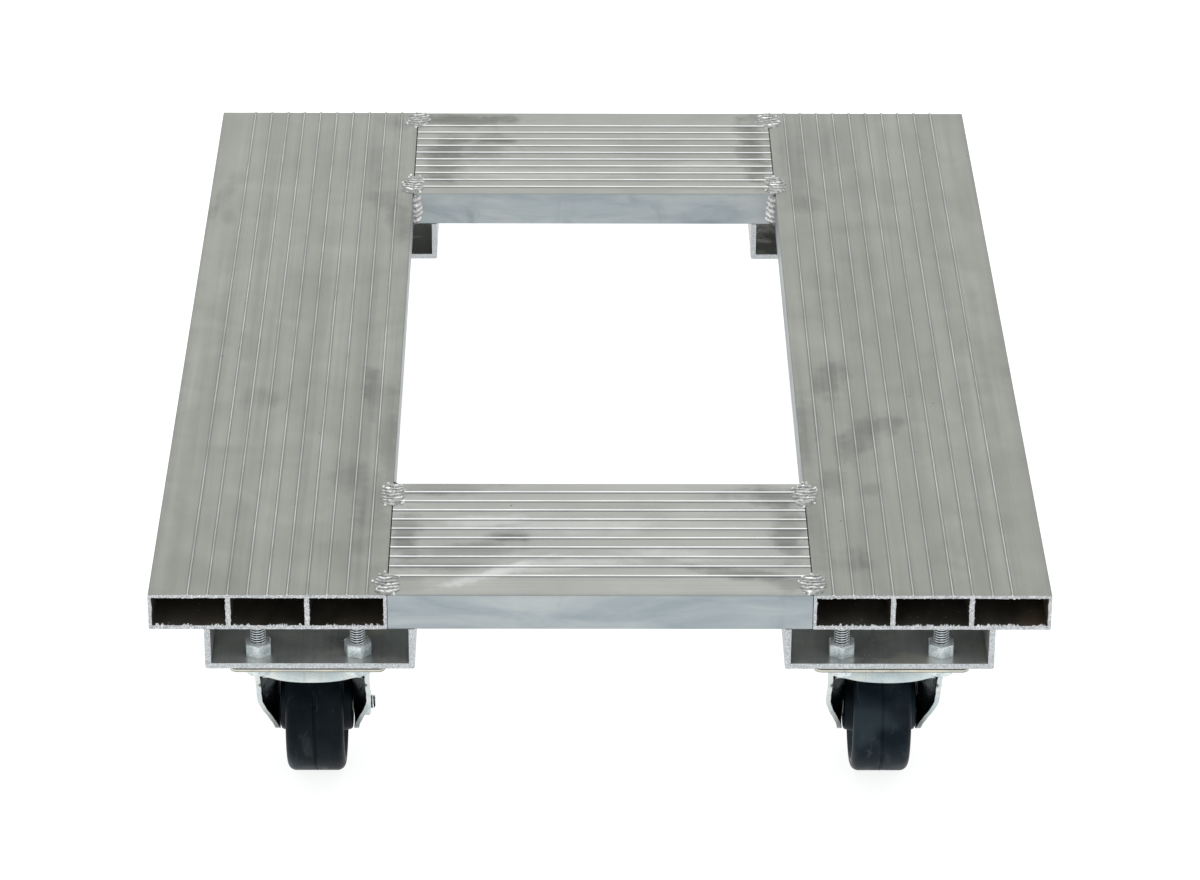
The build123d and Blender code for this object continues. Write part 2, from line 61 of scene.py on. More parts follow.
# ---- Shader helpers ----
class Shader:
    """A material being built: adds nodes, links them and remembers its Principled BSDF."""

    def __init__(self, name):
        self.material = bpy.data.materials.new(name)
        self.material.use_nodes = True
        self.tree = self.material.node_tree
        self.bsdf = self.tree.nodes["Principled BSDF"]
        self.coordinate = self.tree.nodes.new("ShaderNodeTexCoord")
        self.bump = None

    def node(self, kind, **settings):
        made = self.tree.nodes.new("ShaderNode" + kind)
        for key, value in settings.items():
            setattr(made, key, value)
        return made

    def put(self, socket, value):
        """Sets a socket to a constant, or links it to another node's output."""
        if isinstance(value, bpy.types.NodeSocket):
            self.tree.links.new(value, socket)
        else:
            socket.default_value = value

    def place(self, scale, turn=(0, 0, 0), shift=(0, 0, 0)):
        """Object coordinates, turned, shifted and scaled, by one number or one for each axis."""
        mapping = self.node("Mapping")
        self.tree.links.new(self.coordinate.outputs["Object"], mapping.inputs["Vector"])
        mapping.inputs["Scale"].default_value = scale if isinstance(scale, (tuple, list)) else [scale] * 3
        mapping.inputs["Rotation"].default_value = turn
        mapping.inputs["Location"].default_value = shift
        return mapping.outputs["Vector"]

    def noise(self, scale, detail=3.0, rough=0.55, warp=0.0, **moved):
        """Cloudy noise over the object."""
        texture = self.node("TexNoise")
        self.put(texture.inputs["Vector"], self.place(scale, **moved))
        texture.inputs["Scale"].default_value = 1.0
        texture.inputs["Detail"].default_value = detail
        texture.inputs["Roughness"].default_value = rough
        texture.inputs["Distortion"].default_value = warp
        return texture.outputs["Fac"]

    def cells(self, scale):
        """The distance to the nearest of many scattered points."""
        texture = self.node("TexVoronoi")
        self.put(texture.inputs["Vector"], self.place(scale))
        texture.inputs["Scale"].default_value = 1.0
        return texture.outputs["Distance"]

    def math(self, operation, a, b=None, c=None, clamp=False):
        made = self.node("Math", operation=operation, use_clamp=clamp)
        for socket, value in zip(made.inputs, (a, b, c)):
            if value is not None:
                self.put(socket, value)
        return made.outputs[0]

    def spread(self, value, low, high, to_low=0.0, to_high=1.0, smooth=False):
        made = self.node("MapRange")
        if smooth:
            made.interpolation_type = "SMOOTHSTEP"
        self.put(made.inputs["Value"], value)
        made.inputs["From Min"].default_value = low
        made.inputs["From Max"].default_value = high
        made.inputs["To Min"].default_value = to_low
        made.inputs["To Max"].default_value = to_high
        return made.outputs["Result"]

    def mix(self, factor, a, b, blend="MIX"):
        made = self.node("Mix", data_type="RGBA", blend_type=blend)
        self.put(made.inputs[0], factor)
        for socket, value in ((made.inputs[6], a), (made.inputs[7], b)):
            if isinstance(value, tuple):
                value = (*value, 1.0) if len(value) == 3 else value
            self.put(socket, value)
        return made.outputs[2]

    def split(self, vector):
        made = self.node("SeparateXYZ")
        self.put(made.inputs[0], vector)
        return made.outputs

    def shelter(self, distance, low, high, local=True):
        """An ambient-occlusion mask used for painted shade: 0 in corners and narrow gaps, 1 on open
        surfaces.
        """
        made = self.node("AmbientOcclusion", samples=6, only_local=local)
        made.inputs["Distance"].default_value = distance
        return self.spread(made.outputs["AO"], low, high)

    def raise_by(self, height, distance, strength=1.0):
        """Adds a bump of this height pattern over the ones before it."""
        made = self.node("Bump")
        made.inputs["Distance"].default_value = distance
        made.inputs["Strength"].default_value = strength
        self.put(made.inputs["Height"], height)
        if self.bump is not None:
            self.put(made.inputs["Normal"], self.bump)
        self.bump = made.outputs["Normal"]
        return self.bump

    def finish(self, colour, roughness, metallic, **constants):
        self.put(self.bsdf.inputs["Base Color"], colour)
        self.put(self.bsdf.inputs["Roughness"], roughness)
        self.put(self.bsdf.inputs["Metallic"], metallic)
        for name, value in constants.items():
            self.bsdf.inputs[name.replace("_", " ")].default_value = value
        if self.bump is not None:
            self.put(self.bsdf.inputs["Normal"], self.bump)
        return self.material


def linear(red, green, blue):
    """An sRGB colour in 0 to 255, as linear values."""
    out = []
    for part in (red, green, blue):
        part /= 255
        out.append(part / 12.92 if part <= 0.04045 else ((part + 0.055) / 1.055) ** 2.4)
    return tuple(out)


# ---- Materials ----
PLANK_WIDTH = 120.65 * MM
RIB_PITCH = PLANK_WIDTH / 12
# These go by the axis the ribs run along. The cross planks' ribs (0) carry a strong painted highlight over
# their whole length, and the side planks' ribs (1) a faint one, with a painted shade line at their feet.
# The last is the share of the bluish painted reflection on a plank's upright faces.
RIB_HIGHLIGHT_STRENGTH = (1.0, 0.22)
RIB_HIGHLIGHT_WIDTH = (0.50, 0.26)
RIB_HIGHLIGHT_LOW = (0.75, 0.35)
RIB_FOOT_SHADE = (0.60, 0.16)
UPRIGHT_REFLECTION_SHARE = (0.75, 0.45)


def drawn_out(along, across, lengthwise):
    """Noise scale for marks drawn out along an axis."""
    scale = [across] * 3
    scale[along] = lengthwise
    return scale


def cell_wall():
    """The inside of a plank's cell: dull, oily and unlit."""
    s = Shader("cell_wall")
    oil = s.noise((40, 14, 60), 3.0, 0.6, 0.5)
    tint = s.noise((12, 5, 12), 1.0, shift=(2, 5, 0))
    colour = s.mix(s.spread(tint, 0.42, 0.58, smooth=True), (0.20, 0.14, 0.09), (0.11, 0.10, 0.085))
    colour = s.mix(s.spread(oil, 0.35, 0.65), (0.055, 0.045, 0.033), colour)
    chips = s.cells(190)
    colour = s.mix(s.spread(chips, 0.05, 0.09, 0.8, 0.0), colour, (0.6, 0.6, 0.6))
    s.raise_by(oil, 0.3 * MM, 0.4)
    return s.finish(colour, s.spread(oil, 0.3, 0.7, 0.45, 0.7), 0.4)


def smeared(s, colour, marks, streaks, upward):
    """The colour with a plank's marks on its top: dark smears, and patches of painted sheen that stand in
    for highlights.
    """
    ragged = s.noise(55, 4.0, 0.65)
    shade = painted_sheen = 0.0
    for x, y, half_width, half_length, turn, depth in marks:
        mapping = s.node("Mapping", vector_type="TEXTURE")
        s.put(mapping.inputs["Vector"], s.coordinate.outputs["Object"])
        mapping.inputs["Location"].default_value = (x * MM, y * MM, 0)
        mapping.inputs["Rotation"].default_value = (0, 0, math.radians(turn))
        mapping.inputs["Scale"].default_value = (half_width * MM, half_length * MM, 1000)
        length = s.node("VectorMath", operation="LENGTH")
        s.put(length.inputs[0], mapping.outputs["Vector"])
        reach = s.math("ADD", length.outputs["Value"], s.spread(ragged, 0.25, 0.75, -0.55, 0.55))
        spot = s.spread(reach, 0.30, 1.25, abs(depth), 0.0, smooth=True)
        if depth > 0:
            shade = s.math("MAXIMUM", shade, spot)
        else:
            painted_sheen = s.math("MAXIMUM", painted_sheen, spot)
    shade = s.math("MULTIPLY", shade, s.spread(streaks, 0.3, 0.7, 0.60, 1.45))
    colour = s.mix(s.math("MULTIPLY", shade, upward), colour, (0.040, 0.042, 0.036))
    # Painted sheen: marks of negative depth lighten the top faces as painted highlights.
    return s.mix(s.math("MULTIPLY", painted_sheen, upward), colour, (0.62, 0.63, 0.62))


def ribbed(s, colour, along, edge, upward):
    """The colour with a painted highlight along the ribs and a painted shade line at their feet, and the
    highlight's mask, which also lowers the metallic. edge is (axis, direction, distance of the plank's
    outer edge), which places the ribs."""
    axis, direction, distance = edge
    across = s.split(s.coordinate.outputs["Object"])[axis]
    across = s.math("MULTIPLY_ADD", across, direction, distance)
    pitches = s.math("DIVIDE", across, RIB_PITCH)
    inside = s.math("MULTIPLY", s.math("GREATER_THAN", pitches, 1.5), s.math("LESS_THAN", pitches, 11.5))
    on_top = s.math("MULTIPLY", inside, upward)
    from_rib = s.math("MULTIPLY", s.math("PINGPONG", pitches, 0.5), RIB_PITCH / MM)
    width = RIB_HIGHLIGHT_WIDTH[along]
    highlight_breakup = s.noise(drawn_out(along, 60, 25), 3.0, 0.6)
    # Painted highlight along each rib's crest, broken up a little by noise.
    rib_highlight = s.math("MULTIPLY", s.spread(from_rib, width, width + 0.12, 1, 0), on_top)
    rib_highlight = s.math("MULTIPLY", rib_highlight, s.spread(highlight_breakup, 0.35, 0.6, RIB_HIGHLIGHT_LOW[along], 1.0))
    rib_highlight = s.math("MULTIPLY", rib_highlight, RIB_HIGHLIGHT_STRENGTH[along])
    colour = s.mix(rib_highlight, colour, (0.98, 0.98, 0.95))
    # Painted shade: a dark line along each rib's foot.
    foot = s.math("MULTIPLY", s.spread(from_rib, 0.72, 0.82, 0, 1), s.spread(from_rib, 0.95, 1.2, 1, 0))
    foot = s.math("MULTIPLY", foot, on_top)
    colour = s.mix(s.math("MULTIPLY", foot, RIB_FOOT_SHADE[along]), colour, (0.06, 0.06, 0.055))
    return colour, rib_highlight


def extruded_aluminium(name, along, base, dark, light, marks, edge):
    """Mill-finish aluminium with fine lines along an axis, cloudy tone and handling marks, with painted
    sheen, painted rib highlights and rib-foot shade, and a painted reflection on its upright faces.
    """
    s = Shader(name)
    lines = s.noise(drawn_out(along, 900, 9), 4.0, 0.6)
    streaks = s.noise(drawn_out(along, 160, 2.5), 3.0, 0.6)
    cloud = s.noise(9, 4.0, 0.55, 0.4)
    patch = s.noise(34, 3.0, 0.6, 0.8)
    tone = s.math("ADD", s.spread(lines, 0.3, 0.7, -0.10, 0.10), s.spread(streaks, 0.3, 0.7, -0.12, 0.12))
    tone = s.math("ADD", tone, s.spread(cloud, 0.3, 0.7, -0.16, 0.16))
    tone = s.math("ADD", tone, s.spread(patch, 0.3, 0.7, -0.08, 0.08))
    colour = s.mix(s.math("ADD", tone, 0.5, clamp=True), dark, light)
    colour = s.mix(s.spread(cloud, 0.52, 0.75), colour, base)
    upward = s.spread(s.split(s.node("NewGeometry").outputs["Normal"])[2], 0.5, 0.8)
    colour = smeared(s, colour, marks, streaks, upward)
    colour, rib_highlight = ribbed(s, colour, along, edge, upward)
    sideways = s.math("SUBTRACT", 1.0, upward, clamp=True)
    drift = s.noise((14, 30, 60), 4.0, 0.6, 0.6, shift=(1, 4, 2))
    # Painted reflection: upright faces get a lighter bluish tone by their direction, standing in for the
    # bright floor and room they face.
    upright_reflection = s.mix(s.spread(drift, 0.34, 0.66), linear(150, 163, 171), linear(188, 195, 196))
    upright_reflection = s.mix(s.spread(patch, 0.6, 0.75, 0.0, 0.5), upright_reflection, linear(128, 140, 148))
    colour = s.mix(s.math("MULTIPLY", sideways, UPRIGHT_REFLECTION_SHARE[along]), colour, upright_reflection)
    where = s.noise(21, 1.0, shift=(3, 7, 1))
    pit = s.math("MULTIPLY", s.spread(s.cells(75), 0.035, 0.06, 1, 0), s.spread(where, 0.55, 0.62))
    colour = s.mix(s.math("MULTIPLY", pit, 0.75), colour, (0.04, 0.04, 0.036))
    rough = s.math("ADD", s.spread(streaks, 0.3, 0.7, 0.36, 0.50), s.spread(patch, 0.3, 0.7, -0.05, 0.05))
    s.raise_by(lines, 0.02 * MM, 0.6)
    s.raise_by(pit, 0.3 * MM, -0.6)
    s.raise_by(cloud, 0.6 * MM, 0.25)
    metallic = s.math("SUBTRACT", 0.8, s.math("MULTIPLY", rib_highlight, 0.65), clamp=True)
    return s.finish(colour, rough, metallic)


def sawn_aluminium():
    """A freshly sawn end: bright, gritty and torn."""
    s = Shader("sawn_end")
    grit = s.noise(2600, 2.0, 0.7)
    torn = s.noise((1500, 400, 420), 3.0, 0.7)
    clumps = s.noise(420, 3.0, 0.6)
    fleck = s.math("MULTIPLY", s.spread(grit, 0.42, 0.62), s.spread(clumps, 0.3, 0.6, 0.45, 1.0))
    colour = s.mix(fleck, (0.30, 0.32, 0.33), (1.0, 1.0, 1.0))
    s.raise_by(torn, 0.5 * MM, 0.9)
    s.raise_by(grit, 0.3 * MM, 0.8)
    return s.finish(colour, s.spread(clumps, 0.3, 0.7, 0.25, 0.5), 0.25)


def weld_metal(name, low, high):
    """Rippled weld metal, mottled between the brightnesses low and high. It is made in three copies:
    bright ones on the crests as painted highlight, dark ones in the hollows as painted shade.
    """
    s = Shader(name)
    mottle = s.noise(520, 4.0, 0.6)
    fine = s.noise(1500, 3.0, 0.7)
    colour = s.mix(s.spread(mottle, 0.35, 0.65), (low, low, low * 0.96), (high, high, high * 0.98))
    # Painted shade: ambient occlusion darkens the bead's own creases.
    colour = s.mix(s.shelter(1.2 * MM, 0.25, 0.75), (0.09, 0.09, 0.085), colour)
    s.raise_by(mottle, 0.4 * MM, 0.6)
    s.raise_by(fine, 0.12 * MM, 0.5)
    return s.finish(colour, s.spread(fine, 0.3, 0.7, 0.22, 0.42), 0.75)


def channel_aluminium(name, dark, light):
    """A channel: gritty, with lengthwise lines, its outer faces painted darker than its inside, and
    painted shade in its corners and round the nuts.
    """
    s = Shader(name)
    lines = s.noise((700, 8, 700), 4.0, 0.6)
    cloud = s.noise((26, 16, 26), 4.0, 0.6, 0.5)
    grit = s.noise(1100, 2.0, 0.7)
    tone = s.spread(lines, 0.3, 0.7, 0.4, 0.6)
    tone = s.math("ADD", tone, s.spread(cloud, 0.3, 0.7, -0.35, 0.35), clamp=True)
    colour = s.mix(tone, dark, light)
    colour = s.mix(s.spread(grit, 0.66, 0.72, 0.0, 0.8), colour, (0.9, 0.9, 0.88))
    warm = s.noise((30, 30, 40), 3.0, 0.6, 0.8, shift=(9, 2, 5))
    colour = s.mix(s.spread(warm, 0.52, 0.68, 0.0, 0.65, smooth=True), colour, (0.95, 0.90, 0.78))
    spatter = s.cells(420)
    thrown = s.noise(24, 2.0, 0.5, shift=(1, 8, 3))
    dots = s.math("MULTIPLY", s.spread(spatter, 0.16, 0.26, 1, 0), s.spread(thrown, 0.56, 0.64))
    colour = s.mix(dots, colour, (1.0, 1.0, 0.98))
    low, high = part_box("channel_front_right")
    middle = (low + high) / 2
    geometry = s.node("NewGeometry")
    place, normal = s.split(geometry.outputs["Position"]), s.split(geometry.outputs["Normal"])
    across = s.math("SUBTRACT", s.math("ABSOLUTE", place[0]), middle.x)
    across = s.math("MULTIPLY", s.math("MULTIPLY", across, s.math("SIGN", place[0])), normal[0])
    upright = s.math("MULTIPLY", s.math("SUBTRACT", place[2], middle.z), normal[2])
    outside = s.math("GREATER_THAN", s.math("ADD", across, upright), 0.0)
    # The outer faces get a darker tone than the inside: lit and shaded tones of one metal.
    colour = s.mix(outside, colour, s.mix(tone, (0.24, 0.25, 0.24), (0.44, 0.45, 0.44)))
    facing = s.math("ABSOLUTE", normal[1])
    sawn = s.spread(facing, 0.8, 0.92)
    teeth = s.noise((1700, 2200, 1700), 2.0, 0.7)
    end = s.mix(s.spread(teeth, 0.35, 0.65), (0.30, 0.32, 0.33), (0.64, 0.67, 0.68))
    # Painted shade: ambient occlusion darkens corners and the web round the nuts' feet.
    colour = s.mix(s.shelter(6 * MM, 0.25, 0.70, False), (0.10, 0.10, 0.094), colour)
    colour = s.mix(sawn, colour, end)
    s.raise_by(lines, 0.03 * MM, 0.6)
    s.raise_by(s.math("MULTIPLY", teeth, sawn), 0.15 * MM, 0.7)
    s.raise_by(grit, 0.05 * MM, 0.5)
    return s.finish(colour, s.spread(cloud, 0.3, 0.7, 0.26, 0.42), 0.8)


def zinc_plate(name, warm, cool, rough, reach, shade, lines=None):
    """Zinc-plated pressed steel: blue-grey and cream bands, draw marks, softened edges, and painted shade
    in corners and gaps. rough and shade are (low, high), reach is in millimetres, and lines are the
    heights of a plate's two faces, near which its upright edge gets painted shade lines."""
    s = Shader(name)
    bands = s.noise((38, 38, 60), 3.0, 0.55, 0.9)
    marks = s.noise((260, 260, 34), 4.0, 0.6)
    spangle = s.noise(900, 2.0, 0.6)
    colour = s.mix(s.spread(bands, 0.35, 0.65, smooth=True), cool, warm)
    colour = s.mix(s.spread(marks, 0.55, 0.72, 0.0, 0.35), colour, (0.16, 0.17, 0.17))
    colour = s.mix(s.spread(spangle, 0.6, 0.75, 0.0, 0.3), colour, (0.80, 0.84, 0.84))
    # Painted shade: ambient occlusion darkens gaps and inner faces toward near black.
    colour = s.mix(s.shelter(reach * MM, *shade, False), (0.004, 0.010, 0.013), colour)
    if lines:
        # Painted shade lines along the top and the foot of the plate's upright edge, standing in for the
        # contact gap and its shadow.
        low, high = lines
        geometry = s.node("NewGeometry")
        upright = s.spread(s.math("ABSOLUTE", s.split(geometry.outputs["True Normal"])[2]), 0.3, 0.6, 1, 0)
        up = s.split(geometry.outputs["Position"])[2]
        near_top = s.spread(up, high - 1.2 * MM, high - 0.85 * MM)
        near_foot = s.spread(up, low + 0.45 * MM, low + 0.80 * MM, 1, 0)
        seam = s.math("MULTIPLY", upright, s.math("MAXIMUM", near_top, near_foot))
        colour = s.mix(s.math("MULTIPLY", seam, 0.92), colour, (0.016, 0.015, 0.012))
    edge = s.node("Bevel", samples=4)
    edge.inputs["Radius"].default_value = 0.35 * MM
    s.bump = edge.outputs["Normal"]
    s.raise_by(bands, 0.5 * MM, 0.5)
    s.raise_by(marks, 0.04 * MM, 0.6)
    return s.finish(colour, s.spread(marks, 0.3, 0.7, *rough), 0.95)


def bright_fastener():
    """Bright zinc fasteners with small dull marks, and their upward faces painted lighter as painted
    light.
    """
    s = Shader("fastener_zinc")
    cloud = s.noise(180, 3.0, 0.6, 0.5)
    fine = s.noise(1300, 3.0, 0.7)
    colour = s.mix(s.spread(cloud, 0.35, 0.65, smooth=True), (0.46, 0.53, 0.55), (0.78, 0.83, 0.84))
    colour = s.mix(s.spread(fine, 0.55, 0.75, 0.0, 0.4), colour, (0.2, 0.24, 0.26))
    # Painted light: faces turned upward are made lighter.
    upward = s.spread(s.split(s.node("NewGeometry").outputs["True Normal"])[2], 0.2, 0.7)
    colour = s.mix(s.math("MULTIPLY", upward, 0.85), colour, (0.92, 0.95, 0.95))
    s.raise_by(cloud, 0.10 * MM, 0.5)
    s.raise_by(fine, 0.03 * MM, 0.6)
    return s.finish(colour, s.spread(fine, 0.3, 0.7, 0.18, 0.38), 0.4)


def thread_metal(name, scale, low, high, rough, metallic):
    """A thread's surface between two tones: a painted highlight on its crests, or painted shade at its
    roots.
    """
    s = Shader(name)
    film = s.noise(scale, 3.0, 0.6)
    colour = s.mix(s.spread(film, 0.35, 0.65), low, high)
    s.raise_by(film, 0.05 * MM, 0.5)
    return s.finish(colour, s.spread(film, 0.3, 0.7, *rough), metallic)


def ball_steel():
    """Polished bearing steel with a film of grease."""
    s = Shader("bearing_steel")
    film = s.noise(240, 3.0, 0.6, 0.6)
    colour = s.mix(s.spread(film, 0.4, 0.65), (0.62, 0.64, 0.66), (0.36, 0.30, 0.20))
    s.raise_by(film, 0.1 * MM, 0.4)
    return s.finish(colour, s.spread(film, 0.3, 0.7, 0.12, 0.34), 1.0)


def wheel_rubber(name, dusty):
    """Hard blue-black wheel rubber: fine moulding grain, scuffs, a painted sheen, and dust, 0 to 1."""
    s = Shader(name)
    grain = s.noise(2400, 2.0, 0.6)
    scuff = s.noise((140, 60, 60), 4.0, 0.65, 0.7, turn=(0, 0, 0.4))
    dust = s.noise(55, 4.0, 0.6)
    nicks = s.cells(330)
    film = 1 + 1.6 * dusty
    colour = s.mix(
        s.spread(dust, 0.4, 0.7),
        (0.0016 * film, 0.0042 * film, 0.0066 * film),
        (0.0060 * film, 0.0105 * film, 0.0140 * film),
    )
    colour = s.mix(s.spread(scuff, 0.58, 0.74, 0.0, 0.30 + 0.3 * dusty), colour, (0.070, 0.080, 0.085))
    nick = s.math("MULTIPLY", s.spread(nicks, 0.05, 0.09, 1, 0), s.spread(dust, 0.5, 0.6))
    colour = s.mix(s.math("MULTIPLY", nick, 0.5), colour, (0.13, 0.15, 0.16))
    # Painted sheen: soft lighter patches that stand in for highlights on the rubber.
    sheen = s.noise(26, 2.0, 0.5, shift=(4, 1, 7))
    colour = s.mix(s.spread(sheen, 0.50, 0.66, 0.0, 0.7, smooth=True), colour, (0.030, 0.044, 0.053))
    s.raise_by(grain, 0.03 * MM, 0.6)
    s.raise_by(scuff, 0.08 * MM, 0.5)
    return s.finish(colour, s.spread(scuff, 0.3, 0.75, 0.32, 0.6), 0.0, Specular_IOR_Level=0.07)


# ---- Camera ----
FOCAL_IN_PICTURE_WIDTHS = 3.95
SENSOR = 36.0
CAMERA_PLACE = (-0.0215, -2.3929, 1.3190)
CAMERA_PITCH, CAMERA_YAW, CAMERA_ROLL = 0.4787, -0.010, 0.0058


def make_camera():
    """The camera at the photograph's angle: far off, looking down at the front end."""
    data = bpy.data.cameras.new("camera")
    data.sensor_width = SENSOR
    data.lens = SENSOR * FOCAL_IN_PICTURE_WIDTHS
    data.clip_end = 50
    camera = bpy.data.objects.new("camera", data)
    bpy.context.scene.collection.objects.link(camera)
    pitch, yaw, roll = CAMERA_PITCH, CAMERA_YAW, CAMERA_ROLL
    right = Vector((math.cos(yaw), math.sin(yaw), 0))
    forward = Vector(
        (-math.sin(yaw) * math.cos(pitch), math.cos(yaw) * math.cos(pitch), -math.sin(pitch))
    )
    up = right.cross(forward)
    right_rolled = right * math.cos(roll) + up * math.sin(roll)
    up_rolled = up * math.cos(roll) - right * math.sin(roll)
    turn = Matrix((right_rolled, up_rolled, -forward)).transposed()
    camera.matrix_world = Matrix.Translation(CAMERA_PLACE) @ turn.to_4x4()
    bpy.context.scene.camera = camera


# ---- Studio ----
FLOOR_GLOW = 0.86


def make_floor():
    """A plain pale floor that fills the view."""
    mesh = bpy.data.meshes.new("floor")
    bm = bmesh.new()
    bmesh.ops.create_grid(bm, x_segments=8, y_segments=8, size=14)
    bm.to_mesh(mesh)
    bm.free()
    floor = bpy.data.objects.new("floor", mesh)
    bpy.context.scene.collection.objects.link(floor)
    s = Shader("floor_paper")
    tone = s.noise(0.6, 2.0)
    colour = s.mix(tone, (0.28, 0.28, 0.28), (0.31, 0.31, 0.31))
    s.bsdf.inputs["Emission Color"].default_value = (1.0, 1.0, 1.0, 1.0)
    s.bsdf.inputs["Emission Strength"].default_value = FLOOR_GLOW
    mesh.materials.append(s.finish(colour, 0.9, 0.0))


def area_light(name, place, target, size_x, size_y, watts, colour=(1, 1, 1)):
    data = bpy.data.lights.new(name, "AREA")
    data.shape = "RECTANGLE"
    data.size = size_x
    data.size_y = size_y
    data.energy = watts
    data.color = colour
    light = bpy.data.objects.new(name, data)
    bpy.context.scene.collection.objects.link(light)
    aim = Vector(target) - Vector(place)
    light.rotation_euler = aim.to_track_quat("-Z", "Y").to_euler()
    light.location = place
    return light


def make_studio():
    scene = bpy.context.scene
    world = bpy.data.worlds.new("studio")
    world.use_nodes = True
    background = world.node_tree.nodes["Background"]
    background.inputs["Color"].default_value = (0.95, 0.98, 1.0, 1.0)
    nodes, links = world.node_tree.nodes, world.node_tree.links
    direction = nodes.new("ShaderNodeTexCoord")
    split = nodes.new("ShaderNodeSeparateXYZ")
    fall = nodes.new("ShaderNodeMapRange")
    links.new(direction.outputs["Generated"], split.inputs[0])
    links.new(split.outputs["Z"], fall.inputs["Value"])
    fall.inputs["From Min"].default_value = 0.20
    fall.inputs["From Max"].default_value = 0.75
    fall.inputs["To Min"].default_value = 1.04
    fall.inputs["To Max"].default_value = 0.78
    links.new(fall.outputs["Result"], background.inputs["Strength"])
    scene.world = world
    scene.view_settings.view_transform = "Standard"
    area_light("overhead", (0, 0.3, 3.0), (0, 0, 0), 3.4, 3.4, 30)
    area_light("back_softbox", (0, 3.4, 2.1), (0, 0, 0.1), 3.4, 1.6, 26, (1.0, 0.99, 0.95))


# ---- Mesh helpers ----
class Parts:
    """Vertices, faces and each face's material slot, gathered for one piece."""

    def __init__(self):
        self.vertices, self.faces, self.slots = [], [], []

    def add(self, points, rows, columns, slots, closed=False):
        """Adds a grid of points; closed joins each row's end to its start."""
        self.faces += grid_faces(rows, columns, closed, len(self.vertices))
        self.vertices += points
        self.slots += slots


def make_piece(name, parts, materials, body, node, smooth=35):
    """A mesh piece. It rides on a body and replaces a node; edges sharper than smooth stay hard."""
    mesh = bpy.data.meshes.new(name)
    mesh.from_pydata([tuple(v) for v in parts.vertices], [], parts.faces)
    for material in materials:
        mesh.materials.append(material)
    mesh.polygons.foreach_set("material_index", parts.slots)
    bm = bmesh.new()
    bm.from_mesh(mesh)
    bmesh.ops.recalc_face_normals(bm, faces=bm.faces)
    bm.to_mesh(mesh)
    bm.free()
    mesh.shade_smooth()
    mesh.set_sharp_from_angle(angle=math.radians(smooth))
    piece = bpy.data.objects.new(name, mesh)
    bpy.context.scene.collection.objects.link(piece)
    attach(piece, body)
    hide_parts(node)


def grid_faces(rows, columns, closed=False, first=0):
    """Quads between consecutive rows of points; closed joins each row's end to its start."""
    faces = []
    last = columns if closed else columns - 1
    for r in range(rows - 1):
        for c in range(last):
            a = first + r * columns + c
            b = first + r * columns + (c + 1) % columns
            faces.append((a, b, b + columns, a + columns))
    return faces


def wobble(point, scale, seed=0.0):
    """Smooth noise from -1 to 1 at a point in metres."""
    return noise.noise(Vector(point) * scale + Vector((seed, seed * 1.7, seed * 0.3)))


def arc(centre, radius, start, turn, steps):
    """Points on an arc, in degrees, ends included."""
    points = []
    for i in range(steps + 1):
        angle = math.radians(start + turn * i / steps)
        points.append((centre[0] + radius * math.cos(angle), centre[1] + radius * math.sin(angle)))
    return points


def refine(loop, step):
    """The same closed loop with points added so that no side is longer than step."""
    out = []
    for i, a in enumerate(loop):
        b = loop[(i + 1) % len(loop)]
        count = max(1, math.ceil(math.dist(a, b) / step))
        out += [(a[0] + (b[0] - a[0]) * k / count, a[1] + (b[1] - a[1]) * k / count) for k in range(count)]
    return out


# ---- Planks ----
PLANK_BODY = 19.7 * MM
RIB_HALF_SECTION = ((0.80, 0.0), (0.66, 0.10), (0.46, 0.42), (0.30, 0.53), (0.0, 0.55))
EDGE_ROUND = 0.7 * MM
CELL_ROUND = 0.6 * MM
OUTER_WALL = 1.6 * MM
TOP_WALL = 1.6 * MM
BOTTOM_WALL = 2.0 * MM
DIVIDER_WALL = 2.3 * MM
SEAM_GAP = 0.35 * MM
SAW_RAGGED = 0.10 * MM


def plank_outline():
    """The plank's outer outline, (across, up), with its ribs and rounded edges."""
    w, h, r = PLANK_WIDTH, PLANK_BODY, EDGE_ROUND
    points = arc((w - r, r), r, -90, 90, 4) + arc((w - r, h - r), r, 0, 90, 4)
    for i in range(11, 1, -1):
        section = list(RIB_HALF_SECTION) + [(-x, z) for x, z in reversed(RIB_HALF_SECTION[:-1])]
        points += [(i * RIB_PITCH + x * MM, h + z * MM) for x, z in section]
    points += arc((r, h - r), r, 90, 90, 4) + arc((r, r), r, 180, 90, 4)
    return refine(points, 3.0 * MM)


def cell_outlines():
    """The three cells' outlines, finely divided so that their sawn edges can be torn."""
    width = (PLANK_WIDTH - 2 * OUTER_WALL - 2 * DIVIDER_WALL) / 3
    loops = []
    for i in range(3):
        x0 = OUTER_WALL + i * (width + DIVIDER_WALL)
        x1, z0, z1, r = x0 + width, BOTTOM_WALL, PLANK_BODY - TOP_WALL, CELL_ROUND
        loop = arc((x1 - r, z0 + r), r, -90, 90, 3) + arc((x1 - r, z1 - r), r, 0, 90, 3)
        loop += arc((x0 + r, z1 - r), r, 90, 90, 3) + arc((x0 + r, z0 + r), r, 180, 90, 3)
        loops.append(refine(loop, 0.55 * MM))
    return loops


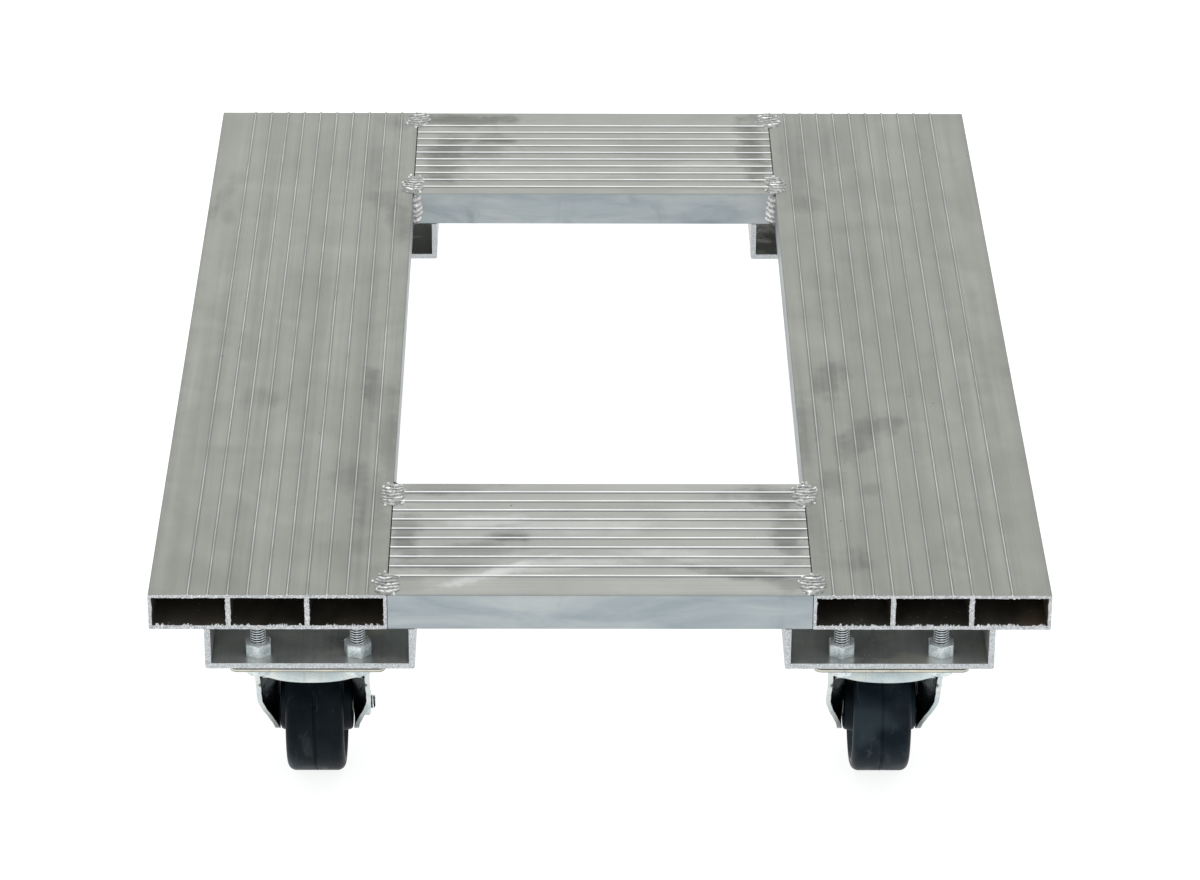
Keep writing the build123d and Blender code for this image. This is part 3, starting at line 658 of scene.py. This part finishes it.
def torn(loop, dice, seed):
    """A cell's outline at the saw cut: slightly ragged all round, with burrs that stand into
    the cell, mostly along its lower edge."""
    left, right = min(x for x, _ in loop), max(x for x, _ in loop)
    low, high = min(z for _, z in loop), max(z for _, z in loop)
    out = []
    for x, z in loop:
        to_side = min(x - left, right - x)
        to_flat = min(z - low, high - z)
        if to_side < 1.2 * MM and to_flat < 1.2 * MM:
            out.append((x, z))
            continue
        on_bottom = z - low < 0.2 * MM
        clump = 0.5 + wobble((x, z, 0), 110, seed)
        tall = dice.random() < clump * (0.75 if on_bottom else 0.30)
        reach = dice.uniform(0.3, 1.6 if on_bottom else 0.6) if tall else dice.uniform(-0.05, 0.20)
        if to_side < to_flat:
            out.append((x + reach * MM * (1 if x - left < right - x else -1), z))
        else:
            lean = dice.uniform(-0.2, 0.2) * MM
            out.append((x + lean, z + reach * MM * (1 if z - low < high - z else -1)))
    return out


def plank(name, node, place, length, materials, seed, sawn_ends=True):
    """One plank: place turns (across, along, up) into the row frame. Its material slots are 0
    outside, 1 on the sawn ends and 2 in the cells."""
    dice = random.Random(seed)
    half = length / 2
    torn_depth, root = 0.4 * MM, 1.2 * MM
    steps = 24
    parts = Parts()
    cuts, firsts, lasts = [], [], []
    for which, loop in enumerate([plank_outline()] + cell_outlines()):
        cut = []
        for end in (-1, 1):
            ragged = loop
            if sawn_ends and which == 0:
                ragged = [
                    (x, z + dice.uniform(-1, 1) * SAW_RAGGED * (0.3 if z > 1 * MM else 1))
                    for x, z in loop
                ]
            elif sawn_ends:
                ragged = torn(loop, dice, 9.0 * seed + 5 * end)
            cut.append(ragged)
        stations = [(-half, cut[0]), (-half + torn_depth, loop), (-half + root, loop)]
        stations += [(-half + length * k / steps, loop) for k in range(1, steps)]
        stations += [(half - root, loop), (half - torn_depth, loop), (half, cut[1])]
        points = [place @ Vector((x, y, z)) for y, ring in stations for x, z in ring]
        count = len(loop)
        inner = count * (len(stations) - 3)
        slots = [1] * count + [2] * inner + [1] * count if which else [0] * (inner + 2 * count)
        firsts.append(len(parts.vertices))
        parts.add(points, len(stations), count, slots, closed=True)
        lasts.append(len(parts.vertices) - count)
        cuts.append(cut)
    for end, starts in enumerate((firsts, lasts)):
        order, outlines = [], []
        for start, cut in zip(starts, cuts):
            order += range(start, start + len(cut[end]))
            outlines.append([Vector((x, z, 0)) for x, z in cut[end]])
        for triangle in tessellate_polygon(outlines):
            parts.faces.append(tuple(order[k] for k in triangle))
            parts.slots.append(1 if sawn_ends else 0)
    make_piece(name, parts, materials, "root", node, 28)


# Marks on the deck, in millimetres on the deck plane: (x, y, half width, half length, turn in
# degrees, depth). They are handling smears and the heat tint of the welding, and where the depth
# is negative, patches of painted sheen (painted highlights).
LEFT_MARKS = (
    (-221, 178, 6, 34, -12, 0.34),
    (-216, 150, 5, 14, 10, 0.22),
    (-126, 176, 11, 13, 0, 0.30),
    (-116, 150, 8, 34, 6, 0.36),
    (-121, 290, 11, 12, 0, 0.34),
    (-128, 225, 14, 34, 0, 0.14),
    (-204, -95, 7, 9, 0, 0.18),
    (-184, -86, 15, 15, -50, 0.20),
    (-122, -78, 7, 36, 5, 0.36),
    (-113, -128, 7, 66, 3, 0.26),
    (-130, -176, 13, 22, 12, 0.24),
    (-119, -205, 9, 44, 0, 0.30),
    (-118, -258, 10, 34, 0, 0.18),
    (-139, -262, 12, 24, 20, 0.10),
)
RIGHT_MARKS = (
    (127, -66, 10, 26, -8, 0.36),
    (112, -124, 7, 52, -3, 0.36),
    (139, -132, 11, 30, -14, 0.40),
    (156, -116, 10, 14, -50, 0.36),
    (124, -184, 8, 17, 0, 0.30),
    (130, -268, 11, 15, 0, 0.32),
    (113, -225, 6, 46, 0, 0.22),
    (127, 169, 12, 17, 0, 0.26),
    (120, 225, 10, 56, 0, 0.22),
    (140, 255, 14, 26, 0, 0.14),
    (143, -190, 7, 8, 0, 0.22),
    (217, -49, 13, 34, 0, 0.10),
)
FRONT_MARKS = (
    (-84, -189, 38, 9, 2, 0.34),
    (-100, -240, 9, 34, 0, 0.44),
    (-46, -243, 14, 7, 6, 0.46),
    (-66, -256, 34, 9, 4, 0.30),
    (-80, -272, 32, 9, 0, 0.30),
    (92, -196, 26, 11, 0, 0.44),
    (97, -240, 10, 36, 0, 0.44),
    (74, -282, 30, 7, -14, 0.46),
    (96, -293, 9, 9, 0, 0.40),
    (-98, -293, 12, 10, 0, 0.24),
    (10, -215, 40, 8, 0, 0.10),
    (-52, -280, 34, 6, 30, -0.42),
    (-20, -272, 40, 7, 6, -0.22),
    (-58, -226, 24, 7, 4, -0.22),
    (-10, -232, 44, 9, 0, -0.16),
    (40, -262, 30, 7, -8, -0.16),
)
REAR_MARKS = (
    (-82, 292, 42, 11, 0, 0.52),
    (-60, 266, 14, 9, -30, 0.50),
    (-90, 236, 14, 48, -8, 0.54),
    (-68, 246, 20, 20, -20, 0.36),
    (97, 252, 10, 52, 2, 0.60),
    (103, 296, 14, 12, 0, 0.30),
    (34, 252, 26, 34, 0, 0.10),
    (-98, 205, 12, 12, 0, 0.30),
    (-30, 212, 50, 8, 0, -0.14),
    (60, 226, 26, 8, 0, -0.14),
)


def make_planks():
    """The four planks, each with its own marks."""
    side_low, side_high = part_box("side_plank_left")
    front_low, front_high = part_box("cross_plank_front")
    base = side_low.z
    half_x, half_y = abs(side_low.x), side_high.y
    side_length = side_high.y - side_low.y
    cross_length = front_high.x - front_low.x - 2 * SEAM_GAP
    sawn = sawn_aluminium()
    cell = cell_wall()
    # The cross planks' tones are painted lighter than the side planks': lit and shaded tones of one metal,
    # standing in for how their grain catches the light.
    side_tones = (linear(120, 121, 116), linear(108, 109, 104), linear(131, 132, 126))
    front_tones = (linear(140, 141, 137), linear(118, 119, 116), linear(158, 159, 155))
    rear_tones = (linear(132, 133, 128), linear(114, 115, 111), linear(148, 149, 144))
    left = extruded_aluminium("left_mill", 1, *side_tones, LEFT_MARKS, (0, 1, half_x))
    right = extruded_aluminium("right_mill", 1, *side_tones, RIGHT_MARKS, (0, -1, half_x))
    front = extruded_aluminium("front_mill", 0, *front_tones, FRONT_MARKS, (1, 1, half_y))
    rear = extruded_aluminium("rear_mill", 0, *rear_tones, REAR_MARKS, (1, -1, half_y))
    up = Matrix.Translation((0, 0, base))
    quarter = math.pi / 2
    rows = (
        ("left", "side_plank_left", 0, (-half_x, 0), side_length, left, True),
        ("right", "side_plank_right", 2 * quarter, (half_x, 0), side_length, right, True),
        ("front", "cross_plank_front", quarter, (0, -half_y), cross_length, front, False),
        ("rear", "cross_plank_rear", -quarter, (0, half_y), cross_length, rear, False),
    )
    for seed, (name, node, turn, (x, y), length, material, sawn_ends) in enumerate(rows):
        place = up @ Matrix.Translation((x, y, 0)) @ Matrix.Rotation(turn, 4, "Z")
        plank("ribbed_plank_" + name, node, place, length, [material, sawn, cell], 70 + seed, sawn_ends)


# ---- Welds ----
BEAD_PITCH = 3.3 * MM
# Length, width, and how far the middle lies in from the deck's end.
OUTER_BEAD = (22.5 * MM, 13.4 * MM, 11.25 * MM)
INNER_BEAD = (24.5 * MM, 13.0 * MM, PLANK_WIDTH - 12.85 * MM)
SPATTER_PER_BEAD = 12


def scale_height(phase):
    """A weld ripple's height, 0 to 1, over its phase: it rises slowly and drops sharply."""
    return math.sin(math.pi * (phase % 1.0) ** 0.62)


def ripple_slots(levels, rows, columns):
    """Each face's material slot: 0 on crests (painted highlight), 1 on flanks and 2 in hollows (painted
    shade).
    """
    slots = []
    for face in grid_faces(rows, columns):
        level = sum(levels[v] for v in face) / len(face)
        slots.append(0 if level > 0.88 else 1 if level > 0.38 else 2)
    return slots


def bead(length, width, height, seed, rows=60, columns=36):
    """A rippled weld bead on z = 0, its rows along y: a grid for Parts.add."""
    points, levels = [], []
    for r in range(rows + 1):
        v = 2 * r / rows - 1
        y = v * length / 2
        reach = math.sqrt(max(0.0, 1 - abs(v) ** 2.6))
        for c in range(columns + 1):
            u = 2 * c / columns - 1
            side = 1 if u > 0 else -1
            edge = 1 + 0.26 * wobble((0.01 * side, y, 0), 420, seed)
            edge += 0.22 * wobble((0.01 * side, y, 0), 130, seed + 21)
            x = u * max(reach * edge, 0.06) * width / 2
            x += 0.35 * MM * wobble((x, y, 0), 350, seed + 5) * (1 - abs(v))
            dome = max(0.0, 1 - abs(u) ** 2.8) * min(1.0, 2.6 * max(0.0, 1 - abs(v)) + 0.12)
            phase = (y - 75 * x * x + 1.3 * MM * wobble((x, y, 0), 240, seed + 9)) / BEAD_PITCH
            scale = scale_height(phase)
            lump = 0.14 * wobble((x, y, 0), 620, seed + 3) + 0.08 * wobble((x, y, 0), 1500, seed + 7)
            z = height * dome * (0.45 + 0.55 * scale + lump)
            points.append(Vector((x, y, min(z, height))))
            faded = 0.30 * max(0.0, wobble((x, y, 0), 300, seed + 13) + 0.35)
            levels.append(scale * min(1.0, 3.0 * dome) + lump - faded)
    return points, rows + 1, columns + 1, ripple_slots(levels, rows + 1, columns + 1)


def held(points, matrix, end_y):
    """The points moved by a matrix and held between the deck's two ends."""
    moved = [matrix @ p for p in points]
    for p in moved:
        p.y = max(-end_y, min(end_y, p.y))
    return moved


def deck_beads(materials):
    """The eight beads on the deck's seams, each with spatter round it, as one piece."""
    plank_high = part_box("side_plank_left")[1]
    seam, end_y = plank_high.x, plank_high.y
    base = plank_high.z - RIB_HALF_SECTION[-1][1] * MM
    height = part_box("deck_weld_beads")[1].z - base
    parts = Parts()
    places = itertools.product((-1, 1), (-1, 1), (OUTER_BEAD, INNER_BEAD))
    for index, (side, end, (length, width, inset)) in enumerate(places):
        dice = random.Random(40 + index)
        points, rows, columns, slots = bead(length, width, height, 11.0 * index + 2)
        centre = Matrix.Translation((-side * seam, end * (end_y - inset), base))
        turn = Matrix.Rotation(math.radians(dice.uniform(-8, 8)), 4, "Z")
        parts.add(held(points, centre @ turn, end_y), rows, columns, slots)
        for _ in range(SPATTER_PER_BEAD):
            size = dice.uniform(0.8, 2.2) * MM
            points, rows, columns, slots = bead(size, size, 0.5 * size, dice.uniform(0, 90), 10, 10)
            way, far = dice.uniform(0, 2 * math.pi), dice.uniform(0.85, 1.15)
            away = (math.cos(way) * far * width / 2, math.sin(way) * far * length / 2, 0)
            at = centre @ Matrix.Translation(away)
            # Spatter takes the crest slot, with its painted highlight.
            parts.add(held(points, at, end_y), rows, columns, [0] * len(slots))
    make_piece("deck_seam_beads", parts, materials, "root", "deck_weld_beads", 70)


def fillet(start, end, side_a, side_b, leg, pitch, seed, ripple, rows=44, columns=10):
    """A fillet weld from start to end, in the corner between directions a and b: a grid for
    Parts.add. ripple is how deep its scales are, from 0 to 1."""
    a, b = Vector(side_a), Vector(side_b)
    out = (a + b).normalized()
    points, levels = [], []
    for r in range(rows + 1):
        t = r / rows
        p = start.lerp(end, t)
        along = (end - start).length * t
        size = leg * (1 + 0.18 * wobble(p, 330, seed))
        size *= min(1.0, 0.55 + 4 * min(t, 1 - t))
        for c in range(columns + 1):
            s = c / columns
            q = p + a * size * (1 - s) ** 1.5 + b * size * s**1.5
            scale = scale_height((along - 0.30 * leg * math.sin(math.pi * s)) / pitch)
            scale = 1 - ripple * (1 - scale)
            q += out * math.sin(math.pi * s) * (0.45 * MM * scale + 0.5 * MM * wobble(q, 600, seed + 4))
            points.append(q)
            levels.append(scale + 0.25 * wobble(q, 500, seed + 6))
    return points, rows + 1, columns + 1, ripple_slots(levels, rows + 1, columns + 1)


def opening_welds(materials):
    """The four upright fillet welds in the corners of the deck's opening."""
    low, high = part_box("opening_corner_welds")
    plank_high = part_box("side_plank_left")[1]
    x_wall = abs(plank_high.x)
    y_wall = plank_high.y - PLANK_WIDTH
    parts = Parts()
    for i, (x, y) in enumerate(((-1, -1), (1, -1), (1, 1), (-1, 1))):
        top = Vector((x * x_wall, y * y_wall, high.z + 0.3 * MM))
        foot = Vector((x * x_wall, y * y_wall, low.z - 0.5 * MM))
        parts.add(*fillet(top, foot, (-x, 0, 0), (0, -y, 0), 5.2 * MM, 3.4 * MM, 3.0 * i, 0.4))
    make_piece("opening_welds", parts, materials, "root", "opening_corner_welds", 70)


def channel_welds(materials):
    """The sixteen stitches between the channels' sides and the planks' undersides."""
    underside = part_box("side_plank_left")[0].z
    from_end, half_length = 18 * MM, 13 * MM
    parts = Parts()
    count = 0
    for corner in CORNERS:
        low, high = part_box("channel_" + corner)
        for x, out in ((low.x, -1), (high.x, 1)):
            for middle in (low.y + from_end, high.y - from_end):
                start = Vector((x, middle - half_length, underside))
                stop = Vector((x, middle + half_length, underside))
                sides = (out, 0, 0), (0, 0, -1)
                parts.add(*fillet(start, stop, *sides, 3.6 * MM, 3.0 * MM, 2.0 * count, 1.0))
                count += 1
    make_piece("channel_stitches", parts, materials, "root", "channel_weld_stitches", 70)


# ---- Fasteners ----
HEX_FLATS = 12.7 * MM
THREAD_PITCH = 1.41 * MM
THREAD_DEPTH = 0.95 * MM
# How wide the painted-shade root slot is on each turn of the thread.
THREAD_DARK = 0.29
THREAD_STEPS = 8
BOLT_RADIUS = 3.97 * MM
HEX_SIDES = 72
SHANK_SIDES = 32


def hex_radius(angle):
    """The hexagon's reach at an angle from one of its corners, its corners just eased."""
    away = (angle + math.pi / 6) % (math.pi / 3) - math.pi / 6
    reach = HEX_FLATS / 2 / math.cos(math.pi / 6 - abs(away))
    return min(reach, HEX_FLATS / math.sqrt(3) - 0.13 * MM)


def hex_body(place, height, turn, chamfer_low, chamfer_high, bore):
    """A hexagonal nut or head from z = 0 up, rounded at one or both ends, bored or domed."""
    slope = math.tan(math.radians(30))
    face = HEX_FLATS / 2 - 0.15 * MM
    past = 1.0 * MM
    levels = [0.0, 0.25, 0.5, 0.75, 1.0]
    heights = [past * slope * t for t in levels] if chamfer_low else [0.0]
    heights += [height - past * slope * t for t in reversed(levels)] if chamfer_high else [height]
    tip = 0.02 * MM
    rows = [(0.0, lambda a: bore or tip)]
    for z in heights:
        limit = 1.0
        if chamfer_low:
            limit = min(limit, face + z / slope)
        if chamfer_high:
            limit = min(limit, face + (height - z) / slope)
        rows.append((z, lambda a, limit=limit: min(hex_radius(a), limit)))
    if bore:
        rows.append((height, lambda a: bore + 0.7 * MM))
        rows.append((height - 0.6 * MM, lambda a: bore))
        rows.append((0.0, lambda a: bore))
    else:
        rows.append((height, lambda a: tip))
    points = []
    for z, reach in rows:
        for k in range(HEX_SIDES):
            angle = 2 * math.pi * k / HEX_SIDES
            r = reach(angle)
            turned = angle + math.radians(turn)
            points.append(place @ Vector((r * math.cos(turned), r * math.sin(turned), z)))
    return points, len(rows), HEX_SIDES, [0] * (HEX_SIDES * (len(rows) - 1))


def threaded_shank(place, length, plain=0.0):
    """A bolt's shank from z = 0 up: plain at first, then a real helical thread. It also gives
    each face's material slot: 0 where it is plain, 1 on the crests (painted highlight) and 2 at the roots
    (painted shade)."""
    step = THREAD_PITCH / THREAD_STEPS
    count = math.ceil(length / step)
    points, slots = [], []
    for i in range(count + 1):
        z = min(i * step, length)
        for k in range(SHANK_SIDES):
            angle = 2 * math.pi * k / SHANK_SIDES
            phase = (z / THREAD_PITCH - k / SHANK_SIDES) % 1.0
            middle = (phase + 0.5 / THREAD_STEPS - 0.5 / SHANK_SIDES) % 1.0
            slots.append(0 if z <= plain else 2 if abs(middle - 0.5) < THREAD_DARK else 1)
            groove = THREAD_DEPTH * max(0.0, 1 - abs(phase - 0.5) * 2.5) if z > plain else 0.0
            taper = max(0.0, z - (length - 0.8 * MM))
            r = BOLT_RADIUS - groove - taper
            points.append(place @ Vector((r * math.cos(angle), r * math.sin(angle), z)))
    points += [place @ Vector((0, 0, length)) for _ in range(SHANK_SIDES)]
    return points, count + 2, SHANK_SIDES, slots[:-SHANK_SIDES] + [0] * SHANK_SIDES


BOLT_X, BOLT_Y = 25.4 * MM, 41.275 * MM
NUT_BORE = 3.3 * MM
# How the four nuts and the four bolt heads of a caster are turned, in degrees.
HEAD_TURNS = (12, 40, 25, 3)
NUT_TURNS = {
    "front_left": (36, 8, 46, 33),
    "front_right": (31, 12, 28, 50),
    "rear_left": (5, 40, 22, 57),
    "rear_right": (44, 18, 3, 26),
}


def caster_matrix(corner):
    """From a caster's own frame (kingpin on Z, plate top at z = 0) to the row frame."""
    low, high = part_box("caster_plate_" + corner)
    turn = 0 if CORNERS[corner][1] < 0 else math.pi
    centre = Vector(((low.x + high.x) / 2, (low.y + high.y) / 2, high.z))
    return Matrix.Translation(centre) @ Matrix.Rotation(turn, 4, "Z")


def mounting_fasteners(corner, metals):
    """The four bolts and the four nuts that hold one caster."""
    place = caster_matrix(corner)
    bolt_low, bolt_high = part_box("mounting_bolts_" + corner)
    nut_low, nut_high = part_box("mounting_nuts_" + corner)
    plate_low, plate_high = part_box("caster_plate_" + corner)
    head_height = plate_low.z - bolt_low.z
    shank = bolt_high.z - plate_low.z
    nut_height = nut_high.z - nut_low.z
    under = plate_low.z - plate_high.z
    web = nut_low.z - plate_high.z
    bolts, nuts = Parts(), Parts()
    places = itertools.product((-BOLT_X, BOLT_X), (-BOLT_Y, BOLT_Y))
    for (x, y), turn, head_turn in zip(places, NUT_TURNS[corner], HEAD_TURNS):
        at = place @ Matrix.Translation((x, y, 0))
        head_at = at @ Matrix.Translation((0, 0, under - head_height))
        shank_at = at @ Matrix.Translation((0, 0, under))
        nut_at = at @ Matrix.Translation((0, 0, web))
        bolts.add(*hex_body(head_at, head_height, head_turn, True, False, None), closed=True)
        bolts.add(*threaded_shank(shank_at, shank, 4 * MM), closed=True)
        nuts.add(*hex_body(nut_at, nut_height, turn, False, True, NUT_BORE), closed=True)
    rows = (
        ("threaded_bolts_", "mounting_bolts_", bolts, metals),
        ("hex_nuts_", "mounting_nuts_", nuts, metals[:1]),
    )
    for name, node, parts, looks in rows:
        make_piece(name + corner, parts, looks, "root", node + corner, 26)


def axle_fasteners(corner, metals):
    """The wheel's axle bolt, head on the left of its caster, and its nut on the right."""
    place = caster_matrix(corner)
    into = place.inverted()
    bolt_ends = [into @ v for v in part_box("axle_bolt_" + corner)]
    nut_ends = [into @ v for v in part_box("axle_nut_" + corner)]
    left, right = sorted(v.x for v in bolt_ends)
    nut_inner, nut_outer = sorted(v.x for v in nut_ends)
    axle = (nut_ends[0] + nut_ends[1]) / 2
    head_height = 3.4 * MM
    sideways = Matrix.Rotation(math.pi / 2, 4, "Y")
    head_at, shank_at, nut_at = [
        place @ Matrix.Translation((x, axle.y, axle.z)) @ sideways
        for x in (left, left + head_height, nut_inner)
    ]
    bolt, nut = Parts(), Parts()
    bolt.add(*hex_body(head_at, head_height, 20, True, False, None), closed=True)
    bolt.add(*threaded_shank(shank_at, right - left - head_height, 36 * MM), closed=True)
    nut.add(*hex_body(nut_at, nut_outer - nut_inner, 20, False, True, NUT_BORE), closed=True)
    rows = ("axle_", "axle_bolt_", bolt, metals), ("axle_hex_nut_", "axle_nut_", nut, metals[:1])
    for name, node, parts, looks in rows:
        make_piece(name + corner, parts, looks, "swivel_" + corner, node + corner)


# ---- Wheels ----
WHEEL_SIDES = 144
DUST = {"front_left": 0.0, "front_right": 0.55, "rear_left": 0.3, "rear_right": 0.15}


def wheel_section(radius, half_tread, half_hub):
    """Half of the wheel's section, (x from the middle, radius), from the parting line out."""
    hub, recess = 14.6 * MM, half_tread - 3.0 * MM
    points = [(0.0, radius), (0.22 * MM, radius - 0.04 * MM), (0.45 * MM, radius - 0.45 * MM)]
    points += [(0.8 * MM, radius - 0.19 * MM)]
    points += [(half_tread * t, radius - 0.16 * MM) for t in (0.12, 0.3, 0.48, 0.62)]
    shoulder = 4.5 * MM
    centre = (half_tread - shoulder, radius - 0.15 * MM - shoulder)
    points += list(reversed(arc(centre, shoulder, 0, 90, 8)))
    points += [(half_tread, 30.6 * MM), (half_tread - 0.3 * MM, 30.0 * MM), (recess + 0.5 * MM, 28.6 * MM)]
    points += [(recess, 27.9 * MM), (recess, hub + 2.2 * MM), (recess + 0.5 * MM, hub + 1.0 * MM)]
    points += [(half_hub - 1.5 * MM, hub), (half_hub - 0.5 * MM, hub - 0.4 * MM)]
    points += [(half_hub, hub - 1.5 * MM), (half_hub, 6.2 * MM)]
    return points


def wheel_piece(corner, material, index):
    """One moulded wheel. Its parting line wanders a little and its tread isn't quite even."""
    low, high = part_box("wheel_" + corner)
    centre = (low + high) / 2
    radius = (high.z - low.z) / 2
    half_hub = (high.x - low.x) / 2
    half = wheel_section(radius, 15.3 * MM, half_hub)
    section = [(-x, r) for x, r in reversed(half[1:])] + half
    vertices = []
    for k in range(WHEEL_SIDES):
        angle = 2 * math.pi * k / WHEEL_SIDES
        way = Vector((0, math.cos(angle), math.sin(angle)))
        for x, r in section:
            near_line = max(0.0, 1 - abs(x) / (9 * MM))
            drift = 0.55 * MM * wobble(way, 1.6, 7.0 * index) * near_line
            uneven = 0.07 * MM * (wobble((x, *way.yz), 2.2, 3.0 * index) - 1) if r > 30 * MM else 0
            vertices.append(centre + Vector((x + drift, 0, 0)) + way * (r + min(uneven, 0)))
    parts = Parts()
    parts.vertices = vertices
    for face in grid_faces(WHEEL_SIDES + 1, len(section)):
        parts.faces.append(tuple(v % len(vertices) for v in face))
        parts.slots.append(0)
    body, node = "roller_" + corner, "wheel_" + corner
    make_piece("moulded_wheel_" + corner, parts, [material], body, node)


# ---- The whole dolly ----
def main():
    """Gives the CAD nodes their materials and makes the pieces that replace the others."""
    weld = [
        # One weld metal in three tones: painted highlight on the crests, flanks, painted shade in the
        # hollows.
        weld_metal("weld_crest_highlight", 0.48, 0.88),
        weld_metal("weld_flank", 0.26, 0.42),
        weld_metal("weld_hollow_shade", 0.17, 0.30),
    ]
    front_channel = channel_aluminium("front_channel_mill", (0.38, 0.385, 0.36), (0.88, 0.89, 0.86))
    # The rear channels are painted darker than the front ones, as painted shade.
    rear_channel = channel_aluminium("rear_channel_shaded_mill", (0.10, 0.10, 0.09), (0.30, 0.30, 0.27))
    plate_low, plate_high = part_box("caster_plate_front_left")
    plate_look = ((0.66, 0.64, 0.53), (0.52, 0.53, 0.48), (0.30, 0.48), 7, (0.25, 0.72))
    plain_plate = zinc_plate("plate_zinc", *plate_look)
    edge_shaded_plate = zinc_plate("plate_zinc_edge_shade", *plate_look, (plate_low.z, plate_high.z))
    fork = zinc_plate("fork_zinc", (0.70, 0.74, 0.71), (0.54, 0.63, 0.65), (0.22, 0.40), 26, (0.64, 0.88))
    # Painted highlight on the thread crests and painted shade at the roots.
    crest = thread_metal("thread_crest_highlight", 500, (0.80, 0.88, 0.91), (1.0, 1.0, 1.0), (0.2, 0.4), 0.15)
    root = thread_metal("thread_root_shade", 700, (0.004, 0.010, 0.014), (0.022, 0.038, 0.046), (0.3, 0.5), 0.5)
    metals = [bright_fastener(), crest, root]
    ball = ball_steel()
    rubbers = {corner: wheel_rubber("rubber_" + corner, DUST[corner]) for corner in CORNERS}
    by_kind = {
        "channel_front": front_channel,
        "channel_rear": rear_channel,
        "caster_plate": edge_shaded_plate,
        "kingpin": plain_plate,
        "lower_cup": plain_plate,
        "upper_balls": ball,
        "lower_balls": ball,
        "fork": fork,
        "wheel_bushing": ball,
    }
    for node in cad:
        for start, material in by_kind.items():
            if node.startswith(start):
                cad[node].data.materials.clear()
                cad[node].data.materials.append(material)
                break
    make_planks()
    deck_beads(weld)
    opening_welds(weld)
    channel_welds(weld)
    for index, corner in enumerate(CORNERS):
        mounting_fasteners(corner, metals)
        axle_fasteners(corner, metals)
        wheel_piece(corner, rubbers[corner], index)


make_camera()
make_studio()
make_floor()
main()
